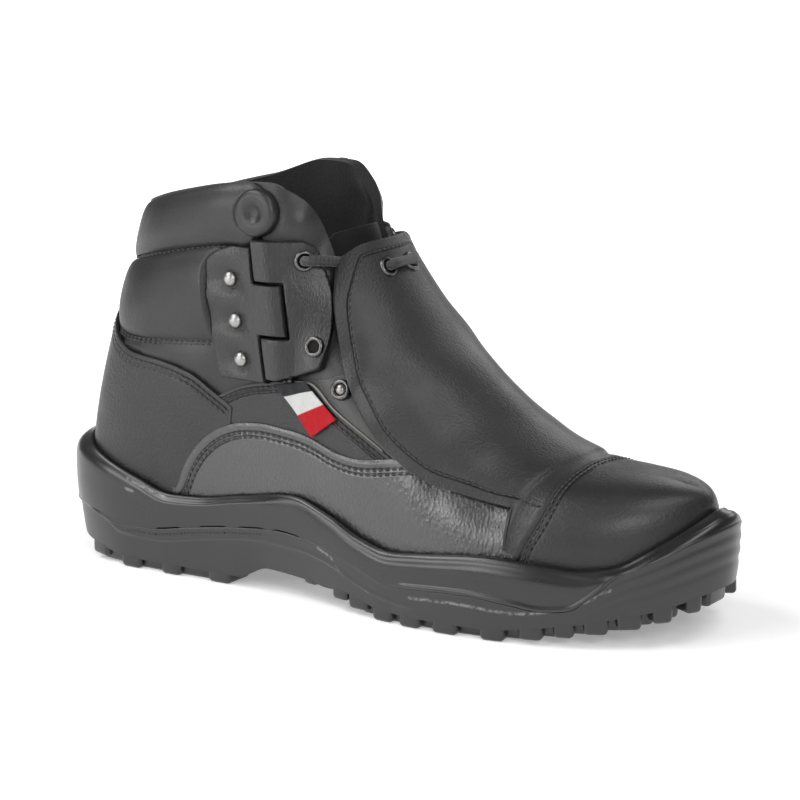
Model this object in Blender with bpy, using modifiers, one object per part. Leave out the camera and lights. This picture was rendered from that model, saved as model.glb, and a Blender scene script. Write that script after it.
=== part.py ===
"""Ankle-high safety boot for the right foot, with a metatarsal guard.

Tables are in millimetres: x runs from the heel (0) to the toe, y is negative on the outer side of
the foot, z is up from the ground.  The finished boot is in metres, standing on the origin.

A station g walks round the sole: 0 is the middle of the heel, -1 and +1 are the toe tip, the outer
side is negative and the inner side is positive.  |g| is the share of that half outline.
"""
import math

import bmesh
import bpy
import numpy as np
from mathutils import Matrix, Vector

MM = 0.001
BOOT = "safety_boot"

# Driving sizes of the last, sole and leather
LENGTH = 308.0
SIDE_FLANGE = 8.4
HEEL_FLANGE = 12.0
TOE_FLANGE = 9.5
WALL = 2.4
PAD = 3.2
GAP = 0.5
LEATHER = 1.6
OVERLAY = GAP + LEATHER
LEAF = 2.5
LEAF_GAP = 1.25
TREAD = 4.5
BUMPER = 3.2
INSOLE = 4.0
CORD = 1.5
EYELET = 4.4
EYELET_BORE = 2.6

# Sole outline at its widest: distance from the heel, outer and inner half width
OUTLINE = [
    (4, 19, 19), (14, 32, 32), (32, 40, 40), (60, 42, 41), (95, 42, 38), (130, 45.5, 36.5),
    (165, 51.5, 41), (198, 54.5, 49), (228, 53, 53), (254, 47.5, 52), (276, 38.5, 47),
    (293, 25.5, 37), (304, 9, 21),
]
TOE_TIP = (LENGTH, 6.0)

# Heights along the sole by x: floor of the tray, rim, parting of the two layers, widest line, lug bottoms
FLOOR = [(0, 27), (90, 27), (150, 23.5), (200, 21), (255, 21.5), (285, 25.5), (308, 33)]
RIM = [
    (0, 56), (13, 53), (37, 44.8), (52, 39.7), (68, 35), (81, 35.5), (106, 39.7), (134, 44),
    (155, 38.9), (170, 32.6), (184, 29.4), (201, 31), (229, 33.6), (251, 32), (262, 30.6),
    (274, 32), (286, 39.3), (295, 46.5), (302, 53.5),
]
PARTING = [
    (0, 26), (30, 23), (39, 20), (59, 20.4), (79, 23.6), (106, 27.5), (127, 29.4), (144, 28),
    (161, 24.6), (174, 20), (184, 17), (219, 18.4), (239, 16.6), (252, 14.8), (262, 15.8),
    (271, 22), (281, 32), (290, 37), (300, 43), (308, 47),
]
WIDEST = [(0, 40), (30, 33), (60, 29), (120, 35), (145, 34),
          (184, 24), (230, 26), (262, 24), (285, 33), (308, 40)]
LOW_INSET = 4.4
GROUND = [
    (0, 9), (14, 6), (31, 2.6), (45, 0), (97, 0), (104, 3.5), (117, 9), (139, 8), (156, 5.2),
    (168, 2.6), (180, 0), (228, 0), (246, 2.2), (260, 4.4), (272, 6.4), (292, 11.2), (308, 17),
]

# Upper sections: top edge (x, z, half width, mid y), then lean and reach at the foot and at the top
RIBS = [
    # g     x      z     half  mid  lean reach lean reach
    (0.000, 37.5, 152.0, 0.0, 0.0, 0, 50, 10, 25),
    (0.060, 42.5, 156.0, 15.0, 0.0, -1, 50, 9, 28),
    (0.120, 54.0, 160.5, 23.5, 0.0, -5, 50, 8, 34),
    (0.195, 74.0, 166.0, 31.0, 0.0, -9, 50, 4, 42),
    (0.285, 100.0, 171.0, 35.2, 0.0, -10, 50, 3, 45),
    (0.345, 115.5, 171.8, 34.6, 0.0, -9, 50, 6, 45),
    (0.410, 129.5, 165.5, 29.0, 0.0, -7, 50, 18, 40),
    (0.450, 136.5, 152.0, 23.0, 0.0, -6, 50, 28, 36),
    (0.520, 149.5, 124.0, 21.5, 0.0, -6, 48, 46, 34),
    (0.600, 172.0, 103.0, 15.0, 1.0, -6, 42, 68, 27),
    (0.645, 190.0, 91.0, 0.0, 1.5, -6, 40, 90, 28),
    (0.700, 222.0, 69.3, 0.0, 2.5, -6, 34, 90, 27),
    (0.765, 254.5, 62.5, 0.0, 3.5, -6, 32, 90, 33),
    (0.850, 268.0, 61.6, 0.0, 4.5, -5, 32, 90, 26),
    (0.920, 277.0, 60.7, 0.0, 5.2, -4, 31, 88, 19),
    (1.000, 285.0, 59.4, 0.0, 6.0, -4, 30, 78, 14),
]
# Inner collar edge against the outer one: share, and what is added to x, z and half width
INNER_EDGE = [(0, 0, 0, 0), (0.195, 0, 0, 0), (0.285, 0, 1.8, -0.4), (0.345, -0.5, 1.4, -1.8),
              (0.41, -1, 0.4, -2.8), (0.45, -1.8, 0, -1), (0.52, 0, 0, 0), (1, 0, 0, 0)]
THROAT_TOP = 0.45
THROAT_END = 0.645
TOE_SEAM = 0.765
STATIONS = [
    0, .032, .064, .096, .13, .165, .195, .225, .254, .285, .315, .345, .378, .41, .45, .485, .52,
    .56, .60, .645, .67, .70, .735, .765, .80, .835, .87, .90, .93, .965, 1.0,
]

LEVELS = [0, .13, .27, .41, .55, .69, .84, 1.0]

# Leather panels: edge heights by x on the side of the upper
COUNTER_TOP = [(13, 114), (25, 111), (31, 104), (38, 98), (47, 94.5),
               (64, 93), (79, 90), (93, 82.5), (106, 75)]
VAMP_TOP = [(70, 39), (76, 51), (84, 61), (95, 68.5), (106, 72), (117, 73), (130, 72), (144, 70),
            (157, 66.6), (168, 65.4), (180, 66.5), (195, 68), (205, 66), (219, 62), (237, 58), (256, 55.5)]
QUARTER_TOP = [(100, 84), (108, 87.5), (118, 89), (147, 95), (157, 97.5), (164, 91), (174, 80), (186, 70)]
VAMP_START = 0.254

# Padded collar: band under the rim with round ends, and the roll below it
BAND_DROP = 3.6
BAND_TALL = 17.0
BAND_END = [(0.0, 1.0), (0.2, 1.08), (0.30, 1.15), (0.315, 1.2), (0.33, 1.1), (0.345, 0.82), (0.357, 0.35)]
BAND_PUFF = 4.2
ROLL_LOW = [(22, 116), (28, 111.8), (31, 107.5), (36, 102.5), (44, 101.5), (66, 103), (92, 105.5)]
ROLL_HIGH = [(34, 129), (71, 138), (92, 142)]
ROLL_PUFF = 5.0

# Metatarsal guard: ridge x and z, edge x and z, stand-off from the upper, edge lean and reaches
GUARD = [
    # rx    rz     ex     ez    off  lean reach ridge
    (152.5, 148.1, 147.0, 142.5, 15.5, 62, 13, 15),
    (161.4, 133.8, 149.5, 126.5, 16.5, 50, 17, 17),
    (170.6, 121.2, 157.0, 107.0, 13.0, 38, 21, 18),
    (182.6, 108.4, 167.0, 91.0, 11.9, 30, 23.5, 19),
    (195.6, 97.3, 176.5, 76.5, 8.0, 28, 22, 21),
    (207.6, 87.6, 187.5, 67.8, 7.4, 24, 19.5, 20),
    (219.8, 78.9, 201.0, 60.6, 7.6, 18, 18, 19),
    (235.0, 71.0, 219.5, 56.8, 8.0, 12, 16, 20),
    (246.4, 67.5, 236.5, 55.2, 8.8, 8, 14.5, 24.5),
    (250.2, 66.8, 240.5, 38.0, 5.8, 0, 25, 26.5),
    (254.0, 66.3, 245.0, 35.5, 5.4, 0, 27, 30),
]
GUARD_THICK = 3.6
GUARD_EDGE = 2.2

# Tongue: middle line x and z, half width, how far its edges fall back
TONGUE = [
    (186.0, 90.0, 12, 3.0), (175.0, 98.5, 19, 8.0), (163.5, 111.0, 24, 12.0),
    (154.0, 125.0, 25, 13.5), (147.0, 139.0, 23, 13.0), (143.6, 148.0, 21, 11.0),
    (142.0, 152.5, 16, 6.5),
]
TONGUE_THICK = 4.0

# Side hinge: axis ends (x, z), knuckle breaks, and the leaf edges by height
AXIS_TOP = (117.4, 147.0)
AXIS_LOW = (126.7, 91.0)
KNUCKLE = 3.2
PIN = 1.2
BREAKS = (110.0, 131.3)
REAR_EDGE = [(90.3, 97.5), (92, 96), (107, 92.5), (122, 89.5), (134, 88.3),
             (139, 89.5), (142.5, 93), (145.6, 101)]
FORE_EDGE = [(92, 126), (95.5, 138), (99, 146), (107, 147), (125, 143.5),
             (140, 137.5), (146, 134.5), (149, 131)]

# Hardware on the side: (x, z)
RIVETS = [(100.8, 131.7), (103.9, 114.7), (106.9, 99)]
LEAF_EYELETS = [(131.5, 141), (142, 107)]
LOW_EYELET = (156, 91.5)
GUARD_EYELETS = (-0.24, 0.14)
LACE_ROWS = [
    # eyelet x, z, middle x, z, tuck
    (131.5, 141, 150.5, 138.0, 8.0), (142, 107, 164.0, 119.3, 0.6), (156, 91.5, 176.6, 107.1, 1.6),
]
LABEL = [(124, 90.8), (139.5, 93), (156.7, 80), (143.9, 71.1)]

COLOURS = {
    "leather": ((0.018, 0.018, 0.019), 0.42),
    "lining": ((0.012, 0.012, 0.012), 0.85),
    "rubber": ((0.022, 0.022, 0.022), 0.6),
    "foam": ((0.026, 0.026, 0.026), 0.55),
    "steel": ((0.62, 0.61, 0.58), 0.3),
    "cord": ((0.01, 0.01, 0.01), 0.8),
    "tab": ((0.7, 0.08, 0.07), 0.7),
}


def curve(rows, x, column=1):
    """Value of a table column at x, by a monotone cubic through its rows."""
    rows = np.asarray(rows, float)
    xs, ys = rows[:, 0], rows[:, column]
    step = np.diff(xs)
    rise = np.diff(ys) / step
    slope = np.zeros(len(xs))
    slope[0], slope[-1] = rise[0], rise[-1]
    turn = rise[:-1] * rise[1:] > 0
    weight = (2 * step[1:] + step[:-1], step[1:] + 2 * step[:-1])
    near, far = rise[:-1][turn], rise[1:][turn]
    total = (weight[0] + weight[1])[turn]
    slope[1:-1][turn] = total / (weight[0][turn] / near + weight[1][turn] / far)
    x = min(max(float(x), xs[0]), xs[-1])
    i = min(int(np.searchsorted(xs, x, side="right")) - 1, len(xs) - 2)
    t = (x - xs[i]) / step[i]
    a, b = slope[i] * step[i], slope[i + 1] * step[i]
    return float((1 + 2 * t) * (1 - t) ** 2 * ys[i] + t * (1 - t) ** 2 * a
                 + t * t * (3 - 2 * t) * ys[i + 1] + t * t * (t - 1) * b)


def half_outline(column):
    """Dense half outline of the sole, its share of length and its inward normal."""
    sign = -1.0 if column == 1 else 1.0
    near = [(row[0], sign * row[column]) for row in OUTLINE]
    other = [(row[0], -sign * row[3 - column]) for row in OUTLINE]
    points = np.array([other[1], other[0], (0.0, 0.0)] + near + [TOE_TIP, other[-1], other[-2]], float)
    chord = np.r_[0, np.cumsum(np.hypot(*np.diff(points, axis=0).T) ** 0.5)]
    tangent = np.zeros_like(points)
    for k in range(1, len(points) - 1):
        d0, d1 = chord[k] - chord[k - 1], chord[k + 1] - chord[k]
        before = (points[k] - points[k - 1]) / d0
        after = (points[k + 1] - points[k]) / d1
        tangent[k] = (before * d1 + after * d0) / (d0 + d1)
    dense = []
    for k in range(2, len(points) - 3):
        d = chord[k + 1] - chord[k]
        for t in np.linspace(0, 1, 24, endpoint=False):
            dense.append((1 + 2 * t) * (1 - t) ** 2 * points[k] + t * (1 - t) ** 2 * d * tangent[k]
                         + t * t * (3 - 2 * t) * points[k + 1] + t * t * (t - 1) * d * tangent[k + 1])
    dense.append(points[-3])
    dense = np.array(dense)
    run = np.r_[0, np.cumsum(np.hypot(*np.diff(dense, axis=0).T))]
    along = np.gradient(dense, run, axis=0)
    inward = np.c_[-along[:, 1], along[:, 0]] * (-sign)
    inward[0] = (1.0, 0.0)
    inward[-1] = (-1.0, 0.0)
    return run / run[-1], dense, inward / np.linalg.norm(inward, axis=1)[:, None]


HALVES = {-1: half_outline(1), 1: half_outline(2)}


def unwrap(g):
    """Side and share of a station; stations past the toe tip come back on the other side."""
    side = -1 if g < 0 else 1
    share = abs(g)
    if share > 1:
        return -side, 2 - share
    return side, share


def outline(g, inset=0.0):
    """Point on the sole outline moved inward, and the inward direction there."""
    side, share = unwrap(g)
    run, dense, inward = HALVES[side]
    point = np.array([np.interp(share, run, dense[:, k]) for k in (0, 1)])
    normal = np.array([np.interp(share, run, inward[:, k]) for k in (0, 1)])
    normal /= np.linalg.norm(normal)
    return point + inset * normal, normal


def feather(g):
    """Point where the upper meets the sole, and the inward direction."""
    _, normal = outline(g)
    end = HEEL_FLANGE if normal[0] > 0 else TOE_FLANGE
    return outline(g, SIDE_FLANGE + (end - SIDE_FLANGE) * normal[0] ** 2)


def station_at(side, x):
    """Station whose feather point lies at x."""
    low, high = 0.0, 1.0
    for _ in range(40):
        middle = (low + high) / 2
        if feather(side * middle)[0][0] < x:
            low = middle
        else:
            high = middle
    return side * low


def blend(a, b, x):
    """Smooth step from 0 at a to 1 at b."""
    t = min(max((x - a) / (b - a), 0.0), 1.0)
    return t * t * (3 - 2 * t)


def lean(inward, degrees):
    """Direction leaning from upright towards the inside of the boot."""
    angle = math.radians(degrees)
    return np.array([inward[0] * math.sin(angle), inward[1] * math.sin(angle), math.cos(angle)])


def bezier(points, t):
    """Point of a cubic with four control points."""
    a, b, c, d = points
    s = 1 - t
    return s ** 3 * a + 3 * s * s * t * b + 3 * s * t * t * c + t ** 3 * d


RIB_CACHE = {}


def rib(g):
    """Control points of the upper's section at a station, from the sole to the top edge."""
    key = round(g, 6)
    if key in RIB_CACHE:
        return RIB_CACHE[key]
    side, share = unwrap(g)
    foot, normal = feather(g)
    x, z, half, mid, lean0, reach0, lean1, reach1 = (curve(RIBS, share, k) for k in range(1, 9))
    if side > 0:
        x, z, half = (value + curve(INNER_EDGE, share, k) for k, value in enumerate((x, z, half), 1))
    half = 0.0 if share >= THROAT_END else max(half, 0.0)
    start = np.array([foot[0], foot[1], curve(FLOOR, foot[0]) + 0.8])
    end = np.array([x, mid + side * half, z])
    across = (end - start)[:2]
    across = across / (np.linalg.norm(across) + 1e-9)
    turn = blend(0.50, 0.645, share)
    inward = normal * (1 - turn) + across * turn
    inward /= np.linalg.norm(inward)
    points = (start, start + reach0 * lean(normal, lean0), end - reach1 * lean(inward, lean1), end)
    RIB_CACHE[key] = points
    return points


def skin(g, t, lift=0.0):
    """Point of the upper's outer surface, lifted off along its normal."""
    point = bezier(rib(g), t)
    if lift == 0.0:
        return point
    e = 0.012
    du = bezier(rib(g + e), t) - bezier(rib(g - e), t)
    t0, t1 = max(t - 0.02, 0.0), min(t + 0.02, 1.0)
    dv = bezier(rib(g), t1) - bezier(rib(g), t0)
    normal = np.cross(du, dv)
    if unwrap(g)[1] >= THROAT_END and t > 0.97:
        normal[1] = 0.0
    if np.linalg.norm(normal) < 1e-6:
        normal = np.array([0.1, 0.0, 1.0])
    normal /= np.linalg.norm(normal)
    outward = -feather(g)[1]
    if normal @ np.array([outward[0], outward[1], 0.6]) < 0:
        normal = -normal
    return point + lift * normal


def level(g, z):
    """Share of the section at which it reaches the height z."""
    points = rib(g)
    low, high = 0.0, 1.0
    for _ in range(40):
        middle = (low + high) / 2
        if bezier(points, middle)[2] < z:
            low = middle
        else:
            high = middle
    return low


def at_side(side, x, z, lift=0.0):
    """Point of the upper's side at x and z, lifted off along its normal."""
    low, high = 0.03, 0.9
    for _ in range(40):
        middle = (low + high) / 2
        g = side * middle
        if bezier(rib(g), level(g, z))[0] < x:
            low = middle
        else:
            high = middle
    return skin(side * low, level(side * low, z), lift)


def collection(name):
    """Collection of this name, linked to the scene."""
    found = bpy.data.collections.get(name)
    if found is None:
        found = bpy.data.collections.new(name)
        bpy.context.scene.collection.children.link(found)
    return found


MIDDLE_Y = 0.5 * (HALVES[1][1][:, 1].max() + HALVES[-1][1][:, 1].min())


def metres(point):
    """Table point in the finished frame: metres from the middle of the boot on the ground."""
    return ((point[0] - LENGTH / 2) * MM, (point[1] - MIDDLE_Y) * MM, point[2] * MM)


def add_object(name, mesh, colour, cutter=False):
    """Link a mesh as a named object with a material of its own."""
    item = bpy.data.objects.new(name, mesh)
    collection("cutters" if cutter else BOOT).objects.link(item)
    if cutter:
        item.hide_render = True
        item.display_type = "WIRE"
        return item
    base, rough = COLOURS[colour]
    material = bpy.data.materials.new(name)
    material.use_nodes = True
    shader = material.node_tree.nodes["Principled BSDF"]
    shader.inputs["Base Color"].default_value = (*base, 1.0)
    shader.inputs["Roughness"].default_value = rough
    shader.inputs["Metallic"].default_value = 1.0 if colour == "steel" else 0.0
    mesh.materials.append(material)
    return item


def sheet(rows, weld=0.02):
    """Open surface through rows of points; points that coincide are welded."""
    mesh = bmesh.new()
    grid = [[mesh.verts.new(metres(point)) for point in row] for row in rows]
    for near, far in zip(grid, grid[1:]):
        for k in range(len(near) - 1):
            mesh.faces.new((near[k], far[k], far[k + 1], near[k + 1]))
    bmesh.ops.remove_doubles(mesh, verts=mesh.verts, dist=weld * MM)
    bmesh.ops.recalc_face_normals(mesh, faces=mesh.faces)
    return mesh


def face_out(mesh, toward):
    """Turn an open surface so that its first face looks along a direction."""
    mesh.normal_update()
    face = max(mesh.faces, key=lambda item: item.calc_area())
    if face.normal.dot(toward(face.calc_center_median())) < 0:
        bmesh.ops.reverse_faces(mesh, faces=mesh.faces)


def away(centre):
    """Direction from the inside of the foot to a point of the boot."""
    core = metres((min(max(centre[0] / MM + LENGTH / 2, 70), 250), 0, 45))
    return (centre[0] - core[0], centre[1] - core[1], centre[2] - core[2])


def shell(name, rows, thick, colour, offset, puff=None, least=0.0):
    """Solid from an open surface by Solidify; puff gives the share of thickness of each point."""
    mesh = sheet(rows)
    face_out(mesh, lambda centre: Vector(away(centre)))
    data = bpy.data.meshes.new(name)
    mesh.to_mesh(data)
    mesh.free()
    item = add_object(name, data, colour)
    solid = item.modifiers.new("thickness", "SOLIDIFY")
    solid.thickness = thick * MM
    solid.offset = offset
    solid.use_rim = True
    if puff is not None:
        group = item.vertex_groups.new(name="puff")
        lookup = [(np.array(metres(point)), weight) for row, weights in zip(rows, puff)
                  for point, weight in zip(row, weights)]
        places = np.array([place for place, _ in lookup])
        weights = np.array([weight for _, weight in lookup])
        for vertex in data.vertices:
            nearest = int(np.argmin(((places - np.array(vertex.co)) ** 2).sum(axis=1)))
            group.add([vertex.index], float(weights[nearest]), "REPLACE")
        solid.vertex_group = "puff"
        solid.thickness_vertex_group = least
    return item


def apply_modifiers(item):
    """Turn an object's modifiers into its mesh."""
    graph = bpy.context.evaluated_depsgraph_get()
    data = bpy.data.meshes.new_from_object(item.evaluated_get(graph))
    item.modifiers.clear()
    item.data = data


def boolean(item, cutter, operation):
    """Join or cut an object with a cutter object."""
    change = item.modifiers.new(operation.lower(), "BOOLEAN")
    change.operation = operation
    change.solver = "EXACT"
    change.object = cutter
    apply_modifiers(item)


def stand(item, centre, axis):
    """Place an object with its own Z along an axis."""
    item.location = metres(centre)
    item.rotation_mode = "QUATERNION"
    item.rotation_quaternion = Vector(axis).to_track_quat("Z", "Y")
    bpy.context.view_layer.update()


def turned(name, centre, axis, profile, colour, count=12, cutter=False):
    """Profile of (radius, height) turned about an axis; one that starts off the axis is a ring."""
    data = bpy.data.meshes.new(name)
    edges = [(k, k + 1) for k in range(len(profile) - 1)]
    if profile[0][0] > 0:
        edges.append((len(profile) - 1, 0))
    data.from_pydata([(radius * MM, 0.0, height * MM) for radius, height in profile], edges, [])
    item = add_object(name, data, colour, cutter)
    stand(item, centre, axis)
    screw = item.modifiers.new("turn", "SCREW")
    screw.axis = "Z"
    screw.angle = 2 * math.pi
    screw.steps = count
    screw.render_steps = count
    screw.use_merge_vertices = True
    screw.merge_threshold = 0.01 * MM
    apply_modifiers(item)
    mesh = bmesh.new()
    mesh.from_mesh(item.data)
    bmesh.ops.recalc_face_normals(mesh, faces=mesh.faces)
    mesh.to_mesh(item.data)
    mesh.free()
    return item


def rod(radius, low, high):
    """Profile of a plain rod between two heights."""
    return [(0.0, low), (radius, low), (radius, high), (0.0, high)]


def holes(name, spots, radius, depth):
    """Cutter of round holes at (centre, axis) spots."""
    mesh = bmesh.new()
    for centre, axis in spots:
        turn = Vector(axis).to_track_quat("Z", "Y").to_matrix().to_4x4()
        bmesh.ops.create_cone(mesh, cap_ends=True, segments=12, radius1=radius * MM, radius2=radius * MM,
                              depth=2 * depth * MM, matrix=Matrix.Translation(metres(centre)) @ turn)
    data = bpy.data.meshes.new(name)
    mesh.to_mesh(data)
    mesh.free()
    return add_object(name, data, "steel", True)


def stations(low, high, both=True):
    """Shared stations between two shares, on both sides through the heel or toe when both is set."""
    inside = [g for g in STATIONS if low < g < high]
    half = [low] + inside + [high]
    if not both:
        return half
    if low == 0:
        return [-g for g in reversed(half)][:-1] + half
    if high == 1.0:
        return [-g for g in half] + [g for g in reversed(half)][1:]
    return half


def panel_rows(gs, low, high, lift, count):
    """Rows of points between two shares of the sections; count is a number of points or a list of shares."""
    shares = count if isinstance(count, list) else [k / (count - 1) for k in range(count)]
    rows = []
    for g in gs:
        t0, t1 = low(g), high(g)
        rows.append([skin(g, t0 + (t1 - t0) * share, lift) for share in shares])
    return rows


def height_by_x(g, table):
    """Share of the section at which it meets an edge given as height by x."""
    points = rib(g)
    low, high = 0.0, 1.0
    for _ in range(40):
        middle = (low + high) / 2
        place = bezier(points, middle)
        if place[2] < curve(table, place[0]):
            low = middle
        else:
            high = middle
    return low


def sole_wall(g):
    """Inner face of the sole's tray at a station: floor, half way up and rim."""
    rim = curve(RIM, feather(g)[0][0])
    points = [skin(g, t, OVERLAY + GAP + 0.2) for t in (0.0, 0.5 * level(g, rim), level(g, rim))]
    points[0][2] = curve(FLOOR, feather(g)[0][0])
    return points


SOLE_STATIONS = [-g for g in STATIONS[:0:-1]] + STATIONS[:-1]


def side_place(g, z, more=0.0):
    """Point of the sole's side at a height: widest at one height, drawn in above and below it."""
    point, inward = outline(g)
    rim = sole_wall(g)[2]
    wide = curve(WIDEST, point[0])
    root = curve(GROUND, point[0])
    if z >= wide:
        inset = ((rim[:2] - point) @ inward - 2.4) * min((z - wide) / (rim[2] - wide), 1.0) ** 2
    else:
        inset = (LOW_INSET + 2.6 * max(inward[0], 0) ** 2) * ((wide - z) / (wide - root)) ** 1.6
    spot = outline(g, inset + more)[0]
    return np.array([spot[0], spot[1], z])


def layer_heights(g):
    """Parting height at the side and the height of the shelf inside it."""
    x = outline(g)[0][0]
    parting = curve(PARTING, x)
    return parting, min(parting, curve(FLOOR, x) - 5.5)


def flat_place(g, inset, z):
    """Point inside the sole outline at a height."""
    spot = outline(g, inset)[0]
    return np.array([spot[0], spot[1], z])


def midsole_section(g):
    """Section of the midsole from the edge of its floor round its rim to its underside."""
    wall = sole_wall(g)
    parting, core = layer_heights(g)
    parting, core = parting + 0.2, core + 0.2
    rim = wall[2][2]
    tall = rim - parting
    shelf = BUMPER + 0.3 if parting - core > 0.5 else 6.0
    lip = (wall[2][:2] - outline(g)[0]) @ outline(g)[1]
    side = [side_place(g, rim - share * tall) for share in (0.12, 0.30, 0.52, 0.76)]
    return wall + [flat_place(g, lip - 1.0, rim + 0.9), flat_place(g, lip - 2.2, rim)] + side + [
        side_place(g, parting, 0.9), flat_place(g, shelf, parting), flat_place(g, shelf, core)]


def outsole_section(g):
    """Section of the tread layer from its upper face down its side to the tread's root."""
    x = outline(g)[0][0]
    parting, core = layer_heights(g)
    top, core = parting - 0.1, core - 0.1
    tall = top - curve(GROUND, x) - TREAD
    groove = 0.35 + 1.2 * blend(268, 288, x)
    shelf = BUMPER if top - core > 0.3 else 5.6
    side = [side_place(g, top - share * tall, inset) for share, inset in (
        (0.00, 0.8), (0.08, 0.0), (0.25, 0.0), (0.34, groove), (0.43, 0.0), (0.60, 0.0), (0.69, groove),
        (0.78, 0.0), (1.00, 0.8))]
    return [flat_place(g, shelf, core), flat_place(g, shelf, top)] + side


def close_across(mesh, loop, flip):
    """Fill a heel-to-toe loop by strips across the foot; loop[0] is the outer station after the toe tip."""
    count = len(loop)
    half = count // 2
    for k in range(half):
        a, b = loop[(half - k) % count], loop[(half - k - 1) % count]
        c, d = loop[(half + k + 1) % count], loop[(half + k) % count]
        ring = [v for n, v in enumerate((a, b, c, d)) if v not in (a, b, c, d)[:n]]
        if len(ring) > 2:
            mesh.faces.new(ring[::-1] if flip else ring)


def lofted_layer(name, section, colour):
    """Closed solid swept round the sole, its first and last section points joined across the foot."""
    mesh = bmesh.new()
    grid = [[mesh.verts.new(metres(point)) for point in section(g)] for g in SOLE_STATIONS]
    count = len(grid)
    for k in range(count):
        near, far = grid[k], grid[(k + 1) % count]
        for j in range(len(near) - 1):
            mesh.faces.new((near[j], far[j], far[j + 1], near[j + 1]))
    close_across(mesh, [row[0] for row in grid], False)
    close_across(mesh, [row[-1] for row in grid], True)
    bmesh.ops.recalc_face_normals(mesh, faces=mesh.faces)
    data = bpy.data.meshes.new(name)
    mesh.to_mesh(data)
    mesh.free()
    return add_object(name, data, colour)


def lug(mesh, centre, inward, long, wide, slant=0.0, draft=1.6):
    """Tapered tread block: flat at the ground, wider at its root inside the tread layer."""
    ground = curve(GROUND, centre[0])
    spread = max(curve(GROUND, centre[0] + wide / 2), curve(GROUND, centre[0] - wide / 2))
    top = max(ground, spread) + TREAD + 1.6
    inward = np.asarray(inward, float) / np.linalg.norm(inward)
    angle = math.radians(slant)
    inward = np.array([inward[0] * math.cos(angle) - inward[1] * math.sin(angle),
                       inward[0] * math.sin(angle) + inward[1] * math.cos(angle)])
    along = np.array([-inward[1], inward[0]])
    cube = bmesh.ops.create_cube(mesh, size=1.0)["verts"]
    for vertex in cube:
        grow = draft if vertex.co.z > 0 else 0.0
        place = np.asarray(centre) + inward * vertex.co.x * (long + grow)
        place = place + along * vertex.co.y * (wide + grow)
        vertex.co = metres((place[0], place[1], top if vertex.co.z > 0 else ground))


EDGE_LUGS = [
    # x, width along the edge, length inward
    (20, 13, 13), (45, 18, 16), (71, 18, 16), (95, 15, 16), (121, 13, 10), (139, 13, 10), (156, 11, 11),
    (172, 12, 14), (190, 13, 17), (209, 14, 18), (228, 13, 18), (246, 12, 17), (262, 11, 15),
    (276, 11, 13), (289, 11, 12),
]
CENTRE_LUGS = [
    # x, y, length, width, slant
    (62, 0, 26, 11, 0), (84, 0, 30, 11, 0), (183, -2, 26, 9, 18), (199, -2, 28, 9, 18), (215, -1, 28, 9, 18),
    (231, 0, 28, 9, 18), (247, 2, 26, 9, 18), (263, 3, 22, 9, 18), (278, 4, 18, 8, 0),
]


def build_sole():
    """Midsole tray, tread layer with its lugs, and the insole that lies in the tray."""
    lofted_layer("midsole", midsole_section, "foam")
    outsole = lofted_layer("outsole", outsole_section, "rubber")
    mesh = bmesh.new()
    for x, wide, long in EDGE_LUGS:
        for side in (-1, 1):
            edge, inward = outline(station_at(side, x), 3.4 + long / 2)
            lug(mesh, edge, inward, long, wide)
    for x, y, long, wide, slant in CENTRE_LUGS:
        lug(mesh, (x, y), (0, 1), long, wide, slant)
    lug(mesh, (12, 0), (1, 0), 12, 20)
    lug(mesh, (298, 5.5), (-1, 0), 10, 15)
    data = bpy.data.meshes.new("lugs")
    mesh.to_mesh(data)
    mesh.free()
    boolean(outsole, add_object("lugs", data, "rubber", True), "UNION")

    rows = []
    for g in SOLE_STATIONS:
        edge = skin(g, 0.0, -(WALL + GAP))
        floor = curve(FLOOR, edge[0]) + 0.4
        rows.append((edge, floor))
    mesh = bmesh.new()
    low = [mesh.verts.new(metres((edge[0], edge[1], floor))) for edge, floor in rows]
    top = [mesh.verts.new(metres((edge[0], edge[1], floor + INSOLE))) for edge, floor in rows]
    for k in range(len(rows)):
        j = (k + 1) % len(rows)
        mesh.faces.new((low[k], low[j], top[j], top[k]))
    close_across(mesh, low, True)
    close_across(mesh, top, False)
    bmesh.ops.recalc_face_normals(mesh, faces=mesh.faces)
    data = bpy.data.meshes.new("insole")
    mesh.to_mesh(data)
    mesh.free()
    add_object("insole", data, "lining")


def build_upper():
    """The hollow leather upper: open at the collar, the throat and underneath."""
    gs = [-g for g in STATIONS[::-1]] + STATIONS[1:]
    rows = [[skin(g, t) for t in LEVELS] for g in gs]
    full = 1 + PAD / WALL
    puff = []
    for g in gs:
        padded = 1 - blend(0.40, 0.45, abs(g))
        puff.append([(1 + (full - 1) * padded * blend(92, 112, bezier(rib(g), t)[2])) / full for t in LEVELS])
    shell("upper", rows, WALL * full, "leather", -1, puff)


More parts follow.
